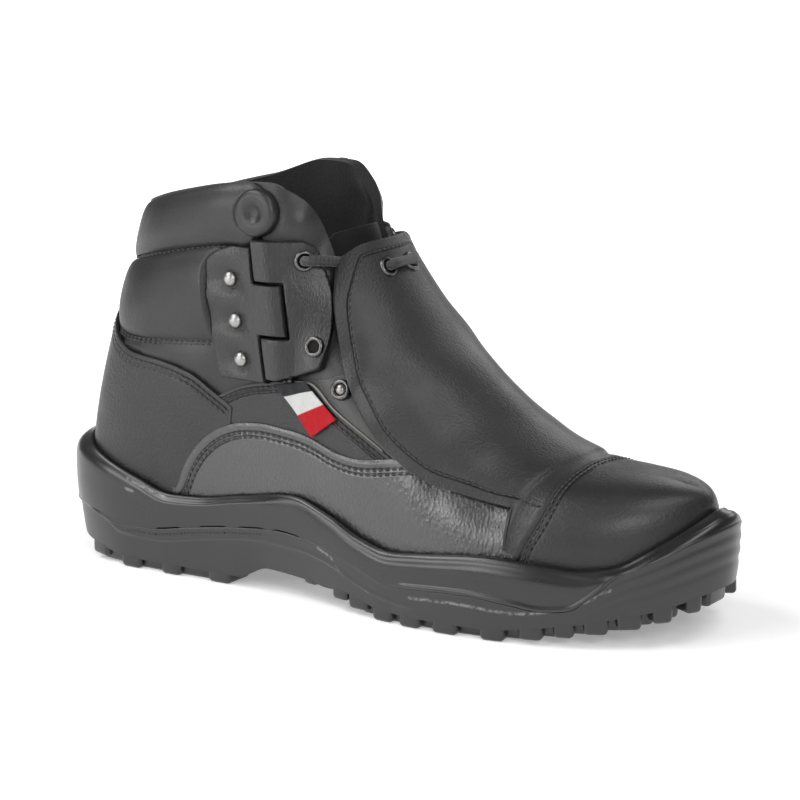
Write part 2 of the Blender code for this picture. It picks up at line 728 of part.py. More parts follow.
def build_panels():
    """Counter, vamp, toe cap and quarter panels lying on the upper."""
    def foot(_):
        return 0.0

    def vamp_edge(g):
        return height_by_x(g, VAMP_TOP)

    def counter_low(g):
        return 0.0 if abs(g) < VAMP_START - 0.004 else vamp_edge(g) + 0.008

    def counter_high(g):
        return max(height_by_x(g, COUNTER_TOP), counter_low(g) + 0.02)

    gs = stations(0, 0.325)
    extra = [VAMP_START - 0.005, VAMP_START - 0.0005]
    gs = sorted(set([g for g in gs if abs(abs(g) - VAMP_START) > 1e-6] + extra + [-g for g in extra]))
    shell("counter", panel_rows(gs, counter_low, counter_high, GAP, 6), LEATHER, "leather", 1)

    half = [VAMP_START + 0.003] + [g for g in STATIONS if VAMP_START < g < TOE_SEAM] + [TOE_SEAM - 0.002]
    for side, name in ((-1, "vamp_outer"), (1, "vamp_inner")):
        rows = panel_rows([side * g for g in half], foot, vamp_edge, GAP + 0.3, 7)
        shell(name, rows, LEATHER, "leather", 1)

    gs = stations(TOE_SEAM + 0.002, 1.0)
    shell("toe_cap", panel_rows(gs, foot, lambda g: 1.0, GAP + 0.2, LEVELS), LEATHER, "leather", 1)

    def quarter_low(g):
        return vamp_edge(g) + 0.008

    def quarter_high(g):
        return max(height_by_x(g, QUARTER_TOP), quarter_low(g) + 0.02)

    for side, name in ((-1, "quarter_outer"), (1, "quarter_inner")):
        gs = [side * g for g in [.331] + [g for g in STATIONS if .331 < g < .55] + [.545]]
        shell(name, panel_rows(gs, quarter_low, quarter_high, GAP, 5), LEATHER, "leather", 1)


def pillow(count, edge):
    """Shares of thickness across a padded strip, thin at both edges."""
    return [max(edge, math.sin(math.pi * (k + 0.02) / (count - 0.96)) ** 0.6) for k in range(count)]


def build_collar():
    """Padded band under the collar's rim, with round ends, and the roll below it."""
    count = 6
    half = [g for g in STATIONS if g < 0.30] + [row[0] for row in BAND_END if row[0] >= 0.30]
    gs = [-g for g in half[:0:-1]] + half
    rows, puff = [], []
    for g in gs:
        top = bezier(rib(g), 1.0)[2]
        tall = BAND_TALL * curve(BAND_END, abs(g))
        middle = top - BAND_DROP - BAND_TALL / 2
        rows.append([skin(g, level(g, middle + tall * (k / (count - 1) - 0.5)), GAP) for k in range(count)])
        puff.append(pillow(count, 0.2))
    shell("collar_band", rows, BAND_PUFF, "leather", 1, puff)

    half = [g for g in STATIONS if g < VAMP_START - 0.001] + [VAMP_START - 0.006]
    gs = [-g for g in half[:0:-1]] + half
    rows, puff = [], []
    for g in gs:
        t0, t1 = height_by_x(g, ROLL_LOW), height_by_x(g, ROLL_HIGH)
        fade = 1 - 0.7 * blend(0.225, 0.25, abs(g))
        rows.append([skin(g, t0 + (t1 - t0) * k / (count - 1), GAP) for k in range(count)])
        puff.append([share * fade for share in pillow(count, 0.2)])
    shell("collar_roll", rows, ROLL_PUFF, "leather", 1, puff)


def guard_section(k, side):
    """Control points of the guard's section, edge to ridge; the front ones follow the toe seam."""
    rx, rz, ex, ez, off, edge_lean, reach, ridge = GUARD[k]
    mid = curve([(140, 0.0), (190, 1.5), (255, 3.5), (285, 6.0)], rx)
    base = at_side(side, ex, ez)
    edge = np.array([ex, base[1] + side * off, ez])
    top = np.array([rx, mid, rz])
    across = (top - edge)[:2]
    across /= np.linalg.norm(across)
    sweep = -0.62 * (rx - ex) * blend(7, 10, k)
    return (edge, edge + reach * lean(across, edge_lean), top + np.array([sweep, side * ridge, 0]), top)


GUARD_CACHE = {}


def guard_table(side):
    """Control points of every guard section of one side, a row per section."""
    if side not in GUARD_CACHE:
        GUARD_CACHE[side] = [(k,) + tuple(value for point in guard_section(k, side) for value in point)
                             for k in range(len(GUARD))]
    return GUARD_CACHE[side]


def guard_point(u, w):
    """Point of the guard: u runs from the top edge to the toe seam, w from the outer to the inner edge."""
    table = guard_table(-1 if w < 0 else 1)
    values = [curve(table, u, k) for k in range(1, 13)]
    points = [np.array(values[k:k + 3]) for k in (0, 3, 6, 9)]
    return bezier(points, 1 - abs(w))


def build_guard():
    """Padded metatarsal guard over the instep, with the holes of its two eyelets."""
    across = [-1, -.93, -.80, -.62, -.42, -.21, 0, .21, .42, .62, .80, .93, 1]
    along = [0, .4, 1, 2, 3, 4, 5, 6, 7, 8, 8.5, 9, 10]
    rows = [[guard_point(u, w) for w in across] for u in along]
    puff = []
    for u in along:
        ends = blend(0, 0.6, u) * (1 - blend(6.0, 8.6, u))
        full = [ends * (1 - blend(0.80, 0.95, abs(w))) for w in across]
        puff.append([(GUARD_EDGE + (GUARD_THICK - GUARD_EDGE) * share) / GUARD_THICK for share in full])
    guard = shell("met_guard", rows, GUARD_THICK, "leather", -1, puff)
    apply_modifiers(guard)
    spots = []
    for w in GUARD_EYELETS:
        point = guard_point(0.75, w)
        du = guard_point(0.85, w) - guard_point(0.65, w)
        dw = guard_point(0.75, w + 0.03) - guard_point(0.75, w - 0.03)
        axis = np.cross(dw, du)
        axis = axis if axis[2] > 0 else -axis
        spots.append((point, axis / np.linalg.norm(axis)))
    boolean(guard, holes("guard_holes", spots, EYELET_BORE + 1.0, 9.0), "DIFFERENCE")
    for name, (point, axis) in zip(("guard_eyelet_outer", "guard_eyelet_inner"), spots):
        add_eyelet(name, point, axis, 2.0)
    return spots


def add_eyelet(name, point, axis, barrel):
    """Rolled metal eyelet: a domed flange over a short barrel in its hole."""
    bore, out = EYELET_BORE, EYELET
    profile = [
        (bore, -barrel), (bore + 0.6, -barrel), (bore + 0.6, 0.35), (out, 0.35), (out - 0.5, 1.2),
        (bore, 1.0),
    ]
    turned(name, point, axis, profile, "steel", 9)


def surface_axis(side, x, z):
    """Outward direction of the upper's side at x and z."""
    axis = at_side(side, x, z, 1.0) - at_side(side, x, z)
    return axis / np.linalg.norm(axis)


def leaf_rows(side, heights, back, fore, count, lift):
    """Rows of a leaf on the side of the upper, each row running from its back to its fore edge."""
    rows = []
    for z in heights:
        a, b = back(z), fore(z)
        rows.append([at_side(side, a + (b - a) * k / (count - 1), z, lift) for k in range(count)])
    return rows


def axis_x(z):
    """Hinge axis: x at a height."""
    share = (AXIS_TOP[1] - z) / (AXIS_TOP[1] - AXIS_LOW[1])
    return AXIS_TOP[0] + (AXIS_LOW[0] - AXIS_TOP[0]) * share


def build_hinge():
    """Side hinge of two leather leaves whose knuckles turn on a pin, with rivets and eyelets."""
    lift = LEAF_GAP
    ends = [at_side(-1, spot[0], spot[1], lift + KNUCKLE + 1.7) for spot in (AXIS_TOP, AXIS_LOW)]
    along = (ends[1] - ends[0]) / np.linalg.norm(ends[1] - ends[0])
    drop = -along[2]

    def down(z):
        return (ends[0][2] - z) / drop

    low, high = BREAKS

    def rear_fore(z):
        return axis_x(z) - (0.0 if low < z < high else KNUCKLE + 1.2)

    def front_back(z):
        return axis_x(z) + (KNUCKLE + 1.2 if low < z < high else 0.0)

    heights = [90.3, 92, 99, low - 0.3, low + 0.9, 117.5, high - 0.9, high + 0.3, 134, 139, 142.5, 145.6]
    rows = leaf_rows(-1, heights, lambda z: curve(REAR_EDGE, z), rear_fore, 6, lift)
    rear = shell("hinge_rear_leaf", rows, LEAF, "leather", 1)
    heights = [92, 95.5, 99, low - 0.9, low + 0.3, 117.5, high - 0.3, high + 0.9, 134, 140, 146, 149]
    rows = leaf_rows(-1, heights, front_back, lambda z: curve(FORE_EDGE, z), 7, lift)
    front = shell("hinge_front_leaf", rows, LEAF, "leather", 1)
    apply_modifiers(rear)
    apply_modifiers(front)
    for item, spans in ((rear, [(low + 0.9, high - 0.9)]), (front, [(93, low - 0.9), (high + 0.9, 145)])):
        for z0, z1 in spans:
            ring = [(PIN + 0.3, down(z1)), (KNUCKLE, down(z1)), (KNUCKLE, down(z0)), (PIN + 0.3, down(z0))]
            boolean(item, turned(item.name + "_knuckle", ends[0], along, ring, "leather", 12, True), "UNION")
    turned("hinge_pin", ends[0], along, rod(PIN, down(144), down(94)), "steel", 12)

    for k, (x, z) in enumerate(RIVETS):
        axis = surface_axis(-1, x, z)
        seat = at_side(-1, x, z, lift + LEAF + 0.3)
        turned("rivet_%d" % (k + 1), seat, axis,
               [(0.0, 0.0), (2.7, 0.0), (2.7, 0.3), (2.2, 1.0), (1.2, 1.5), (0.0, 1.65)], "steel", 9)
    return front


def build_facings(front):
    """Facing of the inner side, and the eyelets of both sides in their holes."""
    heights = [96, 101, 109, 117.5, 127, 134, 140, 145, 148]
    back = [(96, 112), (101, 104), (109, 100), (127, 100), (140, 101), (145, 105), (148, 117)]
    fore = [(96, 138), (99, 147)] + FORE_EDGE[3:]
    rows = leaf_rows(1, heights, lambda z: curve(back, z), lambda z: curve(fore, z), 7, LEAF_GAP)
    facing = shell("facing_inner", rows, LEAF, "leather", 1)
    apply_modifiers(facing)
    for side, label, item in ((-1, "outer", front), (1, "inner", facing)):
        spots = []
        for k, (x, z) in enumerate(LEAF_EYELETS):
            axis = surface_axis(side, x, z)
            spots.append((at_side(side, x, z, LEAF_GAP + LEAF), axis))
            add_eyelet("eyelet_%s_%d" % (label, k + 1), spots[-1][0], axis, 1.9)
        boolean(item, holes("leaf_holes_" + label, spots, EYELET_BORE + 0.9, 2.4), "DIFFERENCE")
        quarter = bpy.data.objects["quarter_" + label]
        apply_modifiers(quarter)
        axis = surface_axis(side, *LOW_EYELET)
        seat = at_side(side, *LOW_EYELET, GAP + LEATHER)
        add_eyelet("eyelet_%s_3" % label, seat, axis, 1.2)
        cutter = holes("quarter_hole_" + label, [(seat, axis)], EYELET_BORE + 0.9, 1.55)
        boolean(quarter, cutter, "DIFFERENCE")


def build_tongue():
    """Padded tongue behind the throat."""
    across = np.linspace(-1, 1, 9)
    rows = []
    for k, (x, z, half, fall) in enumerate(TONGUE):
        near, far = TONGUE[max(k - 1, 0)], TONGUE[min(k + 1, len(TONGUE) - 1)]
        along = np.array([far[0] - near[0], far[1] - near[1]], float)
        along /= np.linalg.norm(along)
        back = np.array([-along[1], along[0]])
        rows.append([np.array([x + back[0] * fall * w * w, 1.0 + half * w, z + back[1] * fall * w * w])
                     for w in across])
    shell("tongue", rows, TONGUE_THICK, "lining", -1)


def tube(name, points, radius, colour, sides=8):
    """Round cord along a smooth path: a bevelled curve turned into a mesh with filled ends."""
    data = bpy.data.curves.new(name, "CURVE")
    data.dimensions = "3D"
    data.bevel_depth = radius * MM
    data.bevel_resolution = max(sides // 4 - 1, 0)
    data.use_fill_caps = True
    spline = data.splines.new("POLY")
    spline.points.add(len(points) - 1)
    for spot, point in zip(spline.points, points):
        spot.co = (*metres(point), 1.0)
    rope = bpy.data.objects.new(name + "_path", data)
    collection("cutters").objects.link(rope)
    graph = bpy.context.evaluated_depsgraph_get()
    mesh = bpy.data.meshes.new_from_object(rope.evaluated_get(graph))
    bpy.data.objects.remove(rope)
    own = bmesh.new()
    own.from_mesh(mesh)
    bmesh.ops.remove_doubles(own, verts=own.verts, dist=0.01 * MM)
    bmesh.ops.recalc_face_normals(own, faces=own.faces)
    own.to_mesh(mesh)
    own.free()
    mesh.name = name
    mesh.materials.clear()
    return add_object(name, mesh, colour)


def build_lace(guard_spots):
    """Lace bars over the tongue, from eyelet to eyelet, and the short bar on the guard."""
    for k, (x, z, mid_x, mid_z, tuck) in enumerate(LACE_ROWS):
        seat = LEAF_GAP + LEAF if k < 2 else OVERLAY
        path = []
        for side in (-1, 1):
            axis = surface_axis(side, x, z)
            hole = at_side(side, x, z, seat)
            rise = hole + axis * (CORD + 2.4)
            top = np.array([mid_x, 1.0, mid_z])
            turn = rise + np.array([9.0, -tuck * side, 0.6 + 2.2 * k])
            half = [hole - axis * 0.4, hole + axis * 1.8, rise + np.array([0.7, 0, 0.1])]
            arch = (rise + np.array([1.4, 0, 0.2]), turn, top + np.array([0, side * 18.5, 0]), top)
            half += [bezier(arch, t) for t in (0.16, 0.34, 0.52, 0.7, 0.87)]
            path.append(half)
        tube("lace_bar_%d" % (k + 1), path[0] + [np.array([mid_x, 1.0, mid_z])] + path[1][::-1], CORD, "cord")
    span = guard_spots[1][0] - guard_spots[0][0]
    span = span / np.linalg.norm(span)
    path = []
    for (point, axis), way in zip(guard_spots, (1.0, -1.0)):
        path.append([point - axis * 0.6, point + axis * 2.2, point + axis * 3.9 + span * way * 1.3,
                     point + axis * 4.5 + span * way * 4.0])
    tube("guard_lace", path[0] + path[1][::-1], CORD, "cord")


def build_label():
    """Small plain tab on the outer quarter, hanging from under the front leaf."""
    a, b, c, d = (np.array(corner, float) for corner in LABEL)
    rows = []
    for v in np.linspace(0, 1, 6):
        left, right = a + (d - a) * v, b + (c - b) * v
        spots = [left + (right - left) * u for u in np.linspace(0, 1, 4)]
        rows.append([at_side(-1, *spot, OVERLAY + GAP + 0.1) for spot in spots])
    shell("side_label", rows, 0.9, "tab", 1)


def main():
    """Build the boot from the sole up."""
    for item in list(bpy.data.objects):
        bpy.data.objects.remove(item)
    build_sole()
    build_upper()
    build_panels()
    build_collar()
    guard_spots = build_guard()
    front = build_hinge()
    build_facings(front)
    build_tongue()
    build_lace(guard_spots)
    build_label()


main()
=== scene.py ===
"""Looks of a black leather safety boot with a metatarsal guard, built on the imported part's frame.

Tables are in millimetres: x from the heel, y from the middle line (the outer side is negative), z from
the ground.  A station g walks round the sole from the middle of the heel (0) to the toe tip (-1 by the
outer side, +1 by the inner side).  A share t climbs a section of the upper from the sole (0) to its
top edge (1).
"""
from __future__ import annotations

import logging
import math
from contextlib import contextmanager
from dataclasses import dataclass
from enum import Enum
from typing import Any, Callable, Iterator, Optional, Sequence, Union

import bpy
import numpy as np
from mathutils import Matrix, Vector
from mathutils.kdtree import KDTree

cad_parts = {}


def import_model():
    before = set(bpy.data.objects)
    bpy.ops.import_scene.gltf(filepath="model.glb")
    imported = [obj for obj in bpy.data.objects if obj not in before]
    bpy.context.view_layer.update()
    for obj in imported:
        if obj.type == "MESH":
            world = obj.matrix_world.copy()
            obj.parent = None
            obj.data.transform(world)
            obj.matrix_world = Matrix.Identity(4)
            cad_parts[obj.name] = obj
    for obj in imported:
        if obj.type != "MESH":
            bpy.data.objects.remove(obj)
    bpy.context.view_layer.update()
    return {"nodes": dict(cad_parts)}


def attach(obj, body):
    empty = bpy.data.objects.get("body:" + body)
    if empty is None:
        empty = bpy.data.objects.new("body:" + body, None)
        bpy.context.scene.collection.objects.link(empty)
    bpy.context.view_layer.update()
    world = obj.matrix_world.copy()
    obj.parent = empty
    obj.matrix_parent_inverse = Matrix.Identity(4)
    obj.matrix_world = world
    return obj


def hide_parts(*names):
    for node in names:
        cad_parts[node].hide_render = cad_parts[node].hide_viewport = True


LOG = logging.getLogger("boot")
Array = np.ndarray
Number = Union[float, Array]
MM = 0.001
LENGTH = 308.0
GAP = 0.5
LEATHER = 1.6
OVERLAY = GAP + LEATHER
THROAT_END = 0.645
TOE_SEAM = 0.765
VAMP_START = 0.254

# Sole outline: x, outer and inner half width
OUTLINE = [
    (4, 19, 19), (14, 32, 32), (32, 40, 40), (60, 42, 41), (95, 42, 38), (130, 45.5, 36.5),
    (165, 51.5, 41), (198, 54.5, 49), (228, 53, 53), (254, 47.5, 52), (276, 38.5, 47),
    (293, 25.5, 37), (304, 9, 21),
]
# Heights along the sole: x, z
FLOOR = [(0, 27), (90, 27), (150, 23.5), (200, 21), (255, 21.5), (285, 25.5), (308, 33)]
RIM = [
    (0, 56), (13, 53), (37, 44.8), (52, 39.7), (68, 35), (81, 35.5), (106, 39.7), (134, 44),
    (155, 38.9), (170, 32.6), (184, 29.4), (201, 31), (229, 33.6), (251, 32), (262, 30.6),
    (274, 32), (286, 39.3), (295, 47), (302, 55.4),
]
PARTING = [
    (0, 26), (30, 23), (39, 20), (59, 20.4), (79, 23.6), (106, 27.5), (127, 29.4), (144, 28),
    (161, 24.6), (174, 20), (184, 17), (219, 18.4), (239, 16.6), (252, 14.8), (262, 15.8),
    (271, 22), (281, 32), (290, 37), (300, 43), (308, 47),
]
WIDEST = [(0, 40), (30, 33), (60, 29), (120, 35), (145, 34), (184, 24), (230, 26), (262, 24),
          (285, 33), (308, 40)]
GROUND = [
    (0, 7), (14, 4), (31, 1.6), (42, 0), (97, 0), (104, 3.5), (117, 9), (139, 8), (156, 5.2),
    (168, 2.6), (180, 0), (228, 0), (246, 2.2), (260, 4.4), (272, 6.4), (292, 11.2), (308, 17),
]
RIDGE = [(20, 24), (33, 20), (42, 15.4), (59, 14.6), (85, 18.4), (116, 22.6), (133, 22.4), (146, 21),
         (156, 18.6), (165, 14.6), (176, 11), (192, 8.5), (308, 8.5)]
# Sections of the upper: g, top edge x and z, half width, mid y, lean and reach at the foot and at the top
RIBS = [
    (0.000, 37.5, 152.0, 0.0, 0.0, 0, 50, 10, 25), (0.060, 42.5, 156.0, 15.0, 0.0, -1, 50, 9, 28),
    (0.120, 54.0, 160.5, 23.5, 0.0, -5, 50, 8, 34), (0.195, 74.0, 166.0, 31.0, 0.0, -9, 50, 4, 42),
    (0.285, 100.0, 171.0, 35.2, 0.0, -10, 50, 3, 45), (0.345, 115.5, 171.8, 34.6, 0.0, -9, 50, 6, 45),
    (0.410, 129.5, 165.5, 29.0, 0.0, -7, 50, 18, 40), (0.450, 136.5, 152.0, 23.0, 0.0, -6, 50, 28, 36),
    (0.520, 149.5, 124.0, 21.5, 0.0, -6, 48, 46, 34), (0.600, 172.0, 103.0, 15.0, 1.0, -6, 42, 68, 27),
    (0.645, 190.0, 91.0, 0.0, 1.5, -6, 40, 90, 28), (0.700, 222.0, 69.3, 0.0, 2.5, -6, 34, 90, 27),
    (0.765, 254.5, 62.5, 0.0, 3.5, -6, 32, 90, 33), (0.850, 268.0, 61.6, 0.0, 4.5, -5, 32, 90, 26),
    (0.920, 277.0, 60.7, 0.0, 5.2, -4, 31, 88, 19), (1.000, 285.0, 59.4, 0.0, 6.0, -4, 30, 78, 14),
]
# Inner collar edge against the outer one: share, and what is added to x, z and half width
INNER_EDGE = [(0, 0, 0, 0), (0.10, 0, -1.2, 0), (0.195, 0, -1.5, 0), (0.285, 0, 1.8, -0.4),
              (0.345, -0.5, 1.4, -1.8), (0.41, -1, 0.4, -2.8), (0.45, -1.8, 0, -1), (0.52, 0, 0, 0),
              (1, 0, 0, 0)]
# Panel edges on the side of the upper: x, z
COUNTER_TOP = [(13, 114), (25, 111), (31, 104), (38, 98), (47, 94.5), (64, 93), (79, 90), (93, 82.5),
               (106, 75)]
VAMP_TOP = [(70, 39), (76, 51), (84, 61), (95, 68.5), (106, 72), (117, 73), (130, 72), (144, 70),
            (157, 66.6), (168, 65.4), (180, 66.5), (195, 68), (205, 66), (219, 62), (237, 58), (256, 55.5)]
# Back edge of the toe cap: z, x
TOE_EDGE = [(20, 232.5), (34.5, 237.7), (41.1, 239.9), (46.7, 242.8), (53.6, 245.0), (58.8, 245.4),
            (64, 245.6)]
# Lines on the outer side of the sole, lightened in colour: rubbed wear on the heel, painted highlight along
# the waist: x, z
HEEL_SCUFFS = [[(45, 40.8), (56, 37.2), (67, 34.2)], [(45, 36.4), (51, 35.2)]]
WAIST_PAINTED_HIGHLIGHTS = [[(146.6, 26.7), (155.8, 22.9), (161.6, 15.8), (175.5, 11.1)],
                [(194, 13.4), (215, 14.2), (240, 13), (262, 17), (277.8, 25.1)]]
# Quarter, gusset and padded roll on the side of the upper: x, z
QUARTER_TOP = [(86, 78), (95, 82.4), (105.7, 87.4), (117.4, 90.2), (130, 92), (139.8, 92.3), (153.8, 83.6),
               (169.6, 74.3), (182, 66.6)]
GUSSET_TOP = [(118, 89), (147, 95), (157, 97.5), (164, 91), (174, 80), (186, 70)]
ROLL_LOW = [(22, 116), (28, 111.8), (31, 107.5), (36, 102.5), (44, 101.5), (66, 103), (92, 105.5)]
ROLL_HIGH = [(34, 129.5), (71, 139.2), (92, 143.6)]
# Height of the collar band by station, as a share of its full height
BAND_END = [(0.0, 1.0), (0.2, 1.08), (0.30, 1.15), (0.315, 1.2), (0.33, 1.1), (0.345, 0.82), (0.357, 0.35)]
# Guard sections: ridge x and z, edge x and z, stand-off, edge lean, reaches at the edge and at the ridge
GUARD = [
    (152.5, 148.1, 147.0, 142.5, 15.5, 62, 13, 15), (161.4, 133.8, 149.5, 126.5, 16.5, 50, 17, 17),
    (170.6, 121.2, 157.0, 107.0, 13.0, 38, 21, 18), (181.9, 107.8, 167.0, 91.0, 11.9, 30, 23.5, 19),
    (195.6, 97.3, 176.5, 76.5, 8.0, 28, 22, 21), (207.6, 87.6, 187.5, 67.8, 7.4, 24, 19.5, 20),
    (219.8, 78.9, 201.0, 60.6, 7.6, 18, 18, 19), (235.0, 71.0, 219.5, 56.8, 8.0, 12, 16, 20),
    (242.0, 68.1, 235.0, 54.8, 8.8, 8, 14.5, 24.5), (245.0, 67.3, 235.0, 37.5, 5.8, 0, 25, 26.5),
    (248.2, 66.8, 240.0, 35.3, 5.4, 0, 27, 30),
]
# Tongue sections: x, z, half width, fall of its sides
TONGUE = [
    (186.0, 90.0, 12, 3.0), (175.0, 98.5, 19, 8.0), (163.5, 111.0, 24, 12.0), (154.0, 125.0, 25, 13.5),
    (147.0, 139.0, 23, 13.0), (143.6, 148.0, 21, 11.0), (142.0, 152.5, 16, 6.5),
]
# Hinge leaves: z, x of their free edges
REAR_EDGE = [(90.3, 97.5), (92, 96), (107, 92.5), (122, 89.5), (134, 88.3), (139, 89.5), (142.5, 93),
             (145.6, 101)]
FORE_EDGE = [(92, 126), (95.5, 138), (99, 146), (107, 147), (125, 143.5), (140, 137.5), (146, 134.5),
             (149, 131)]
RIVETS = [(100.8, 131.7), (103.9, 114.7), (106.9, 99)]
LEAF_EYELETS = [(131.5, 141), (142, 107)]
EYELETS = LEAF_EYELETS + [(156, 91.5)]
GUARD_EYELETS = (-0.24, 0.14)
# Middles of the lace bars: x, z, tuck
LACE_MIDDLES = [(150.5, 138.0, 8.0), (164.0, 119.3, 0.6), (176.6, 107.1, 1.6)]
# Edge lugs: x, width along the edge, length inward.  Middle lugs: x, y, length, width, slant
EDGE_LUGS = [
    (25, 11, 13), (44.7, 10, 16), (66.3, 9.5, 16), (91, 11, 16), (140, 7, 8), (157, 8, 9), (167, 10, 12),
    (179.5, 9.5, 14), (193.3, 9.5, 17), (210, 11, 18), (231, 10, 18), (246.7, 9.5, 17), (259.5, 8, 15),
    (271.3, 9.5, 13), (282.5, 9.5, 12), (292, 8, 11), (299.5, 7, 9),
]
CENTRE_LUGS = [
    (62, 0, 26, 11, 0), (84, 0, 30, 11, 0), (183, -2, 26, 9, 18), (199, -2, 28, 9, 18), (215, -1, 28, 9, 18),
    (231, 0, 28, 9, 18), (247, 2, 26, 9, 18), (263, 3, 22, 9, 18), (278, 4, 18, 8, 0),
]


class Side(Enum):
    """Sides of the boot, by the sign of y."""

    OUTER = -1
    INNER = 1

    @property
    def label(self) -> str:
        """Word for the side in piece names."""
        return self.name.lower()


def blend(a: float, b: float, x: Number) -> Number:
    """Smooth step from 0 at a to 1 at b."""
    t = np.clip((np.asarray(x, float) - a) / (b - a), 0.0, 1.0)
    return t * t * (3 - 2 * t)


def unit(v: Array) -> Array:
    """Vectors scaled to length one."""
    return v / np.maximum(np.linalg.norm(v, axis=-1, keepdims=True), 1e-9)


def bezier(points: Sequence[Array], t: Number) -> Array:
    """Points of cubics with four control points each."""
    t = np.asarray(t, float)[..., None]
    s = 1 - t
    return s ** 3 * points[0] + 3 * s * s * t * points[1] + 3 * s * t * t * points[2] + t ** 3 * points[3]


def hermite(start: Number, end: Number, rise: Number, fall: Number, t: Number) -> Array:
    """Cubics between two values, with slopes given at both ends."""
    return ((1 + 2 * t) * (1 - t) ** 2 * start + t * (1 - t) ** 2 * rise
            + t * t * (3 - 2 * t) * end + t * t * (t - 1) * fall)


def run_length(line: Array) -> Array:
    """Distance along a line of points, from its start."""
    return np.r_[0, np.cumsum(np.linalg.norm(np.diff(line, axis=0), axis=1))]


def at_back(g: Array) -> Array:
    """Share of the middle of the heel in stations: 1 at the back seam, 0 on the sides."""
    return 1 - blend(0.06, 0.17, np.abs(g))


def tree_of(points: Array) -> KDTree:
    """Search tree of points."""
    tree = KDTree(len(points))
    for k, point in enumerate(points):
        tree.insert(point, k)
    tree.balance()
    return tree


class Track:
    """Smooth curve through the rows of a table, without overshoot."""

    def __init__(self, rows: Sequence[Sequence[float]]) -> None:
        """Take the rows; the first column is the place along the curve."""
        table = np.asarray(rows, float)
        self.x, self.y = table[:, 0], table[:, 1:]
        step = np.diff(self.x)[:, None]
        rise = np.diff(self.y, axis=0) / step
        near, far = 2 * step[1:] + step[:-1], step[1:] + 2 * step[:-1]
        with np.errstate(divide="ignore", invalid="ignore"):
            mean = (near + far) / (near / rise[:-1] + far / rise[1:])
        middle = np.where(rise[:-1] * rise[1:] > 0, mean, 0.0)
        self.slope = np.vstack([rise[:1], middle, rise[-1:]])

    def __call__(self, x: Number, column: int = 0) -> Array:
        """Values of a column at x."""
        x = np.clip(np.asarray(x, float), self.x[0], self.x[-1])
        i = np.clip(np.searchsorted(self.x, x, side="right") - 1, 0, len(self.x) - 2)
        h = self.x[i + 1] - self.x[i]
        t = (x - self.x[i]) / h
        rise, fall = self.slope[i, column] * h, self.slope[i + 1, column] * h
        return hermite(self.y[i, column], self.y[i + 1, column], rise, fall, t)


class Surface:
    """A smooth form with two coordinates, on which pieces are laid."""

    reach = (0.012, 0.02)
    span = (-1.0, 1.0)

    def place(self, a: Array, b: Array) -> Array:
        """Points of the form."""
        raise NotImplementedError

    def slopes(self, a: Array, b: Array) -> tuple[Array, Array]:
        """Change of place along each coordinate."""
        da, db = self.reach
        low, high = np.clip(b - db, *self.span), np.clip(b + db, *self.span)
        high = np.maximum(high, low + 1e-4)
        along = (self.place(a + da, b) - self.place(a - da, b)) / (2 * da)
        return along, (self.place(a, high) - self.place(a, low)) / (high - low)[..., None]

    def normal(self, a: Array, b: Array) -> Array:
        """Outward directions."""
        raise NotImplementedError

    def lifted(self, a: Number, b: Number, lift: Number = 0.0) -> Array:
        """Points lifted off the form along its normal."""
        a, b = np.broadcast_arrays(np.asarray(a, float), np.asarray(b, float))
        return self.place(a, b) + np.asarray(lift, float)[..., None] * self.normal(a, b)

    def snap(self, target: Array, a: Array, b: Array, axes: Sequence[int] = (0, 1, 2)) -> tuple[Array, Array]:
        """Coordinates of the points nearest to targets.

        Args:
            target: points to come near to.
            a: first guess of the first coordinate.
            b: first guess of the second coordinate.
            axes: the axes that count.

        Returns:
            The two coordinates.
        """
        axes = list(axes)
        a, b = np.array(a, float), np.array(b, float)
        for _ in range(7):
            off = (target - self.place(a, b))[..., axes]
            pa, pb = (s[..., axes] for s in self.slopes(a, b))
            aa, bb, ab = (pa * pa).sum(-1), (pb * pb).sum(-1), (pa * pb).sum(-1)
            oa, ob = (off * pa).sum(-1), (off * pb).sum(-1)
            det = np.maximum(aa * bb - ab * ab, 1e-6)
            a = a + np.clip((oa * bb - ob * ab) / det, -0.05, 0.05)
            b = b + np.clip((ob * aa - oa * ab) / det, -0.15, 0.15)
        return a, b

    def aside(self, a: Array, b: Array, distance: float) -> tuple[Array, Array]:
        """Path moved sideways on the form; a positive distance is to the left of its run."""
        spots = self.place(a, b)
        run = unit(np.gradient(spots, axis=0))
        left = np.cross(self.normal(a, b), run)
        return self.snap(spots + distance * left, a, b)


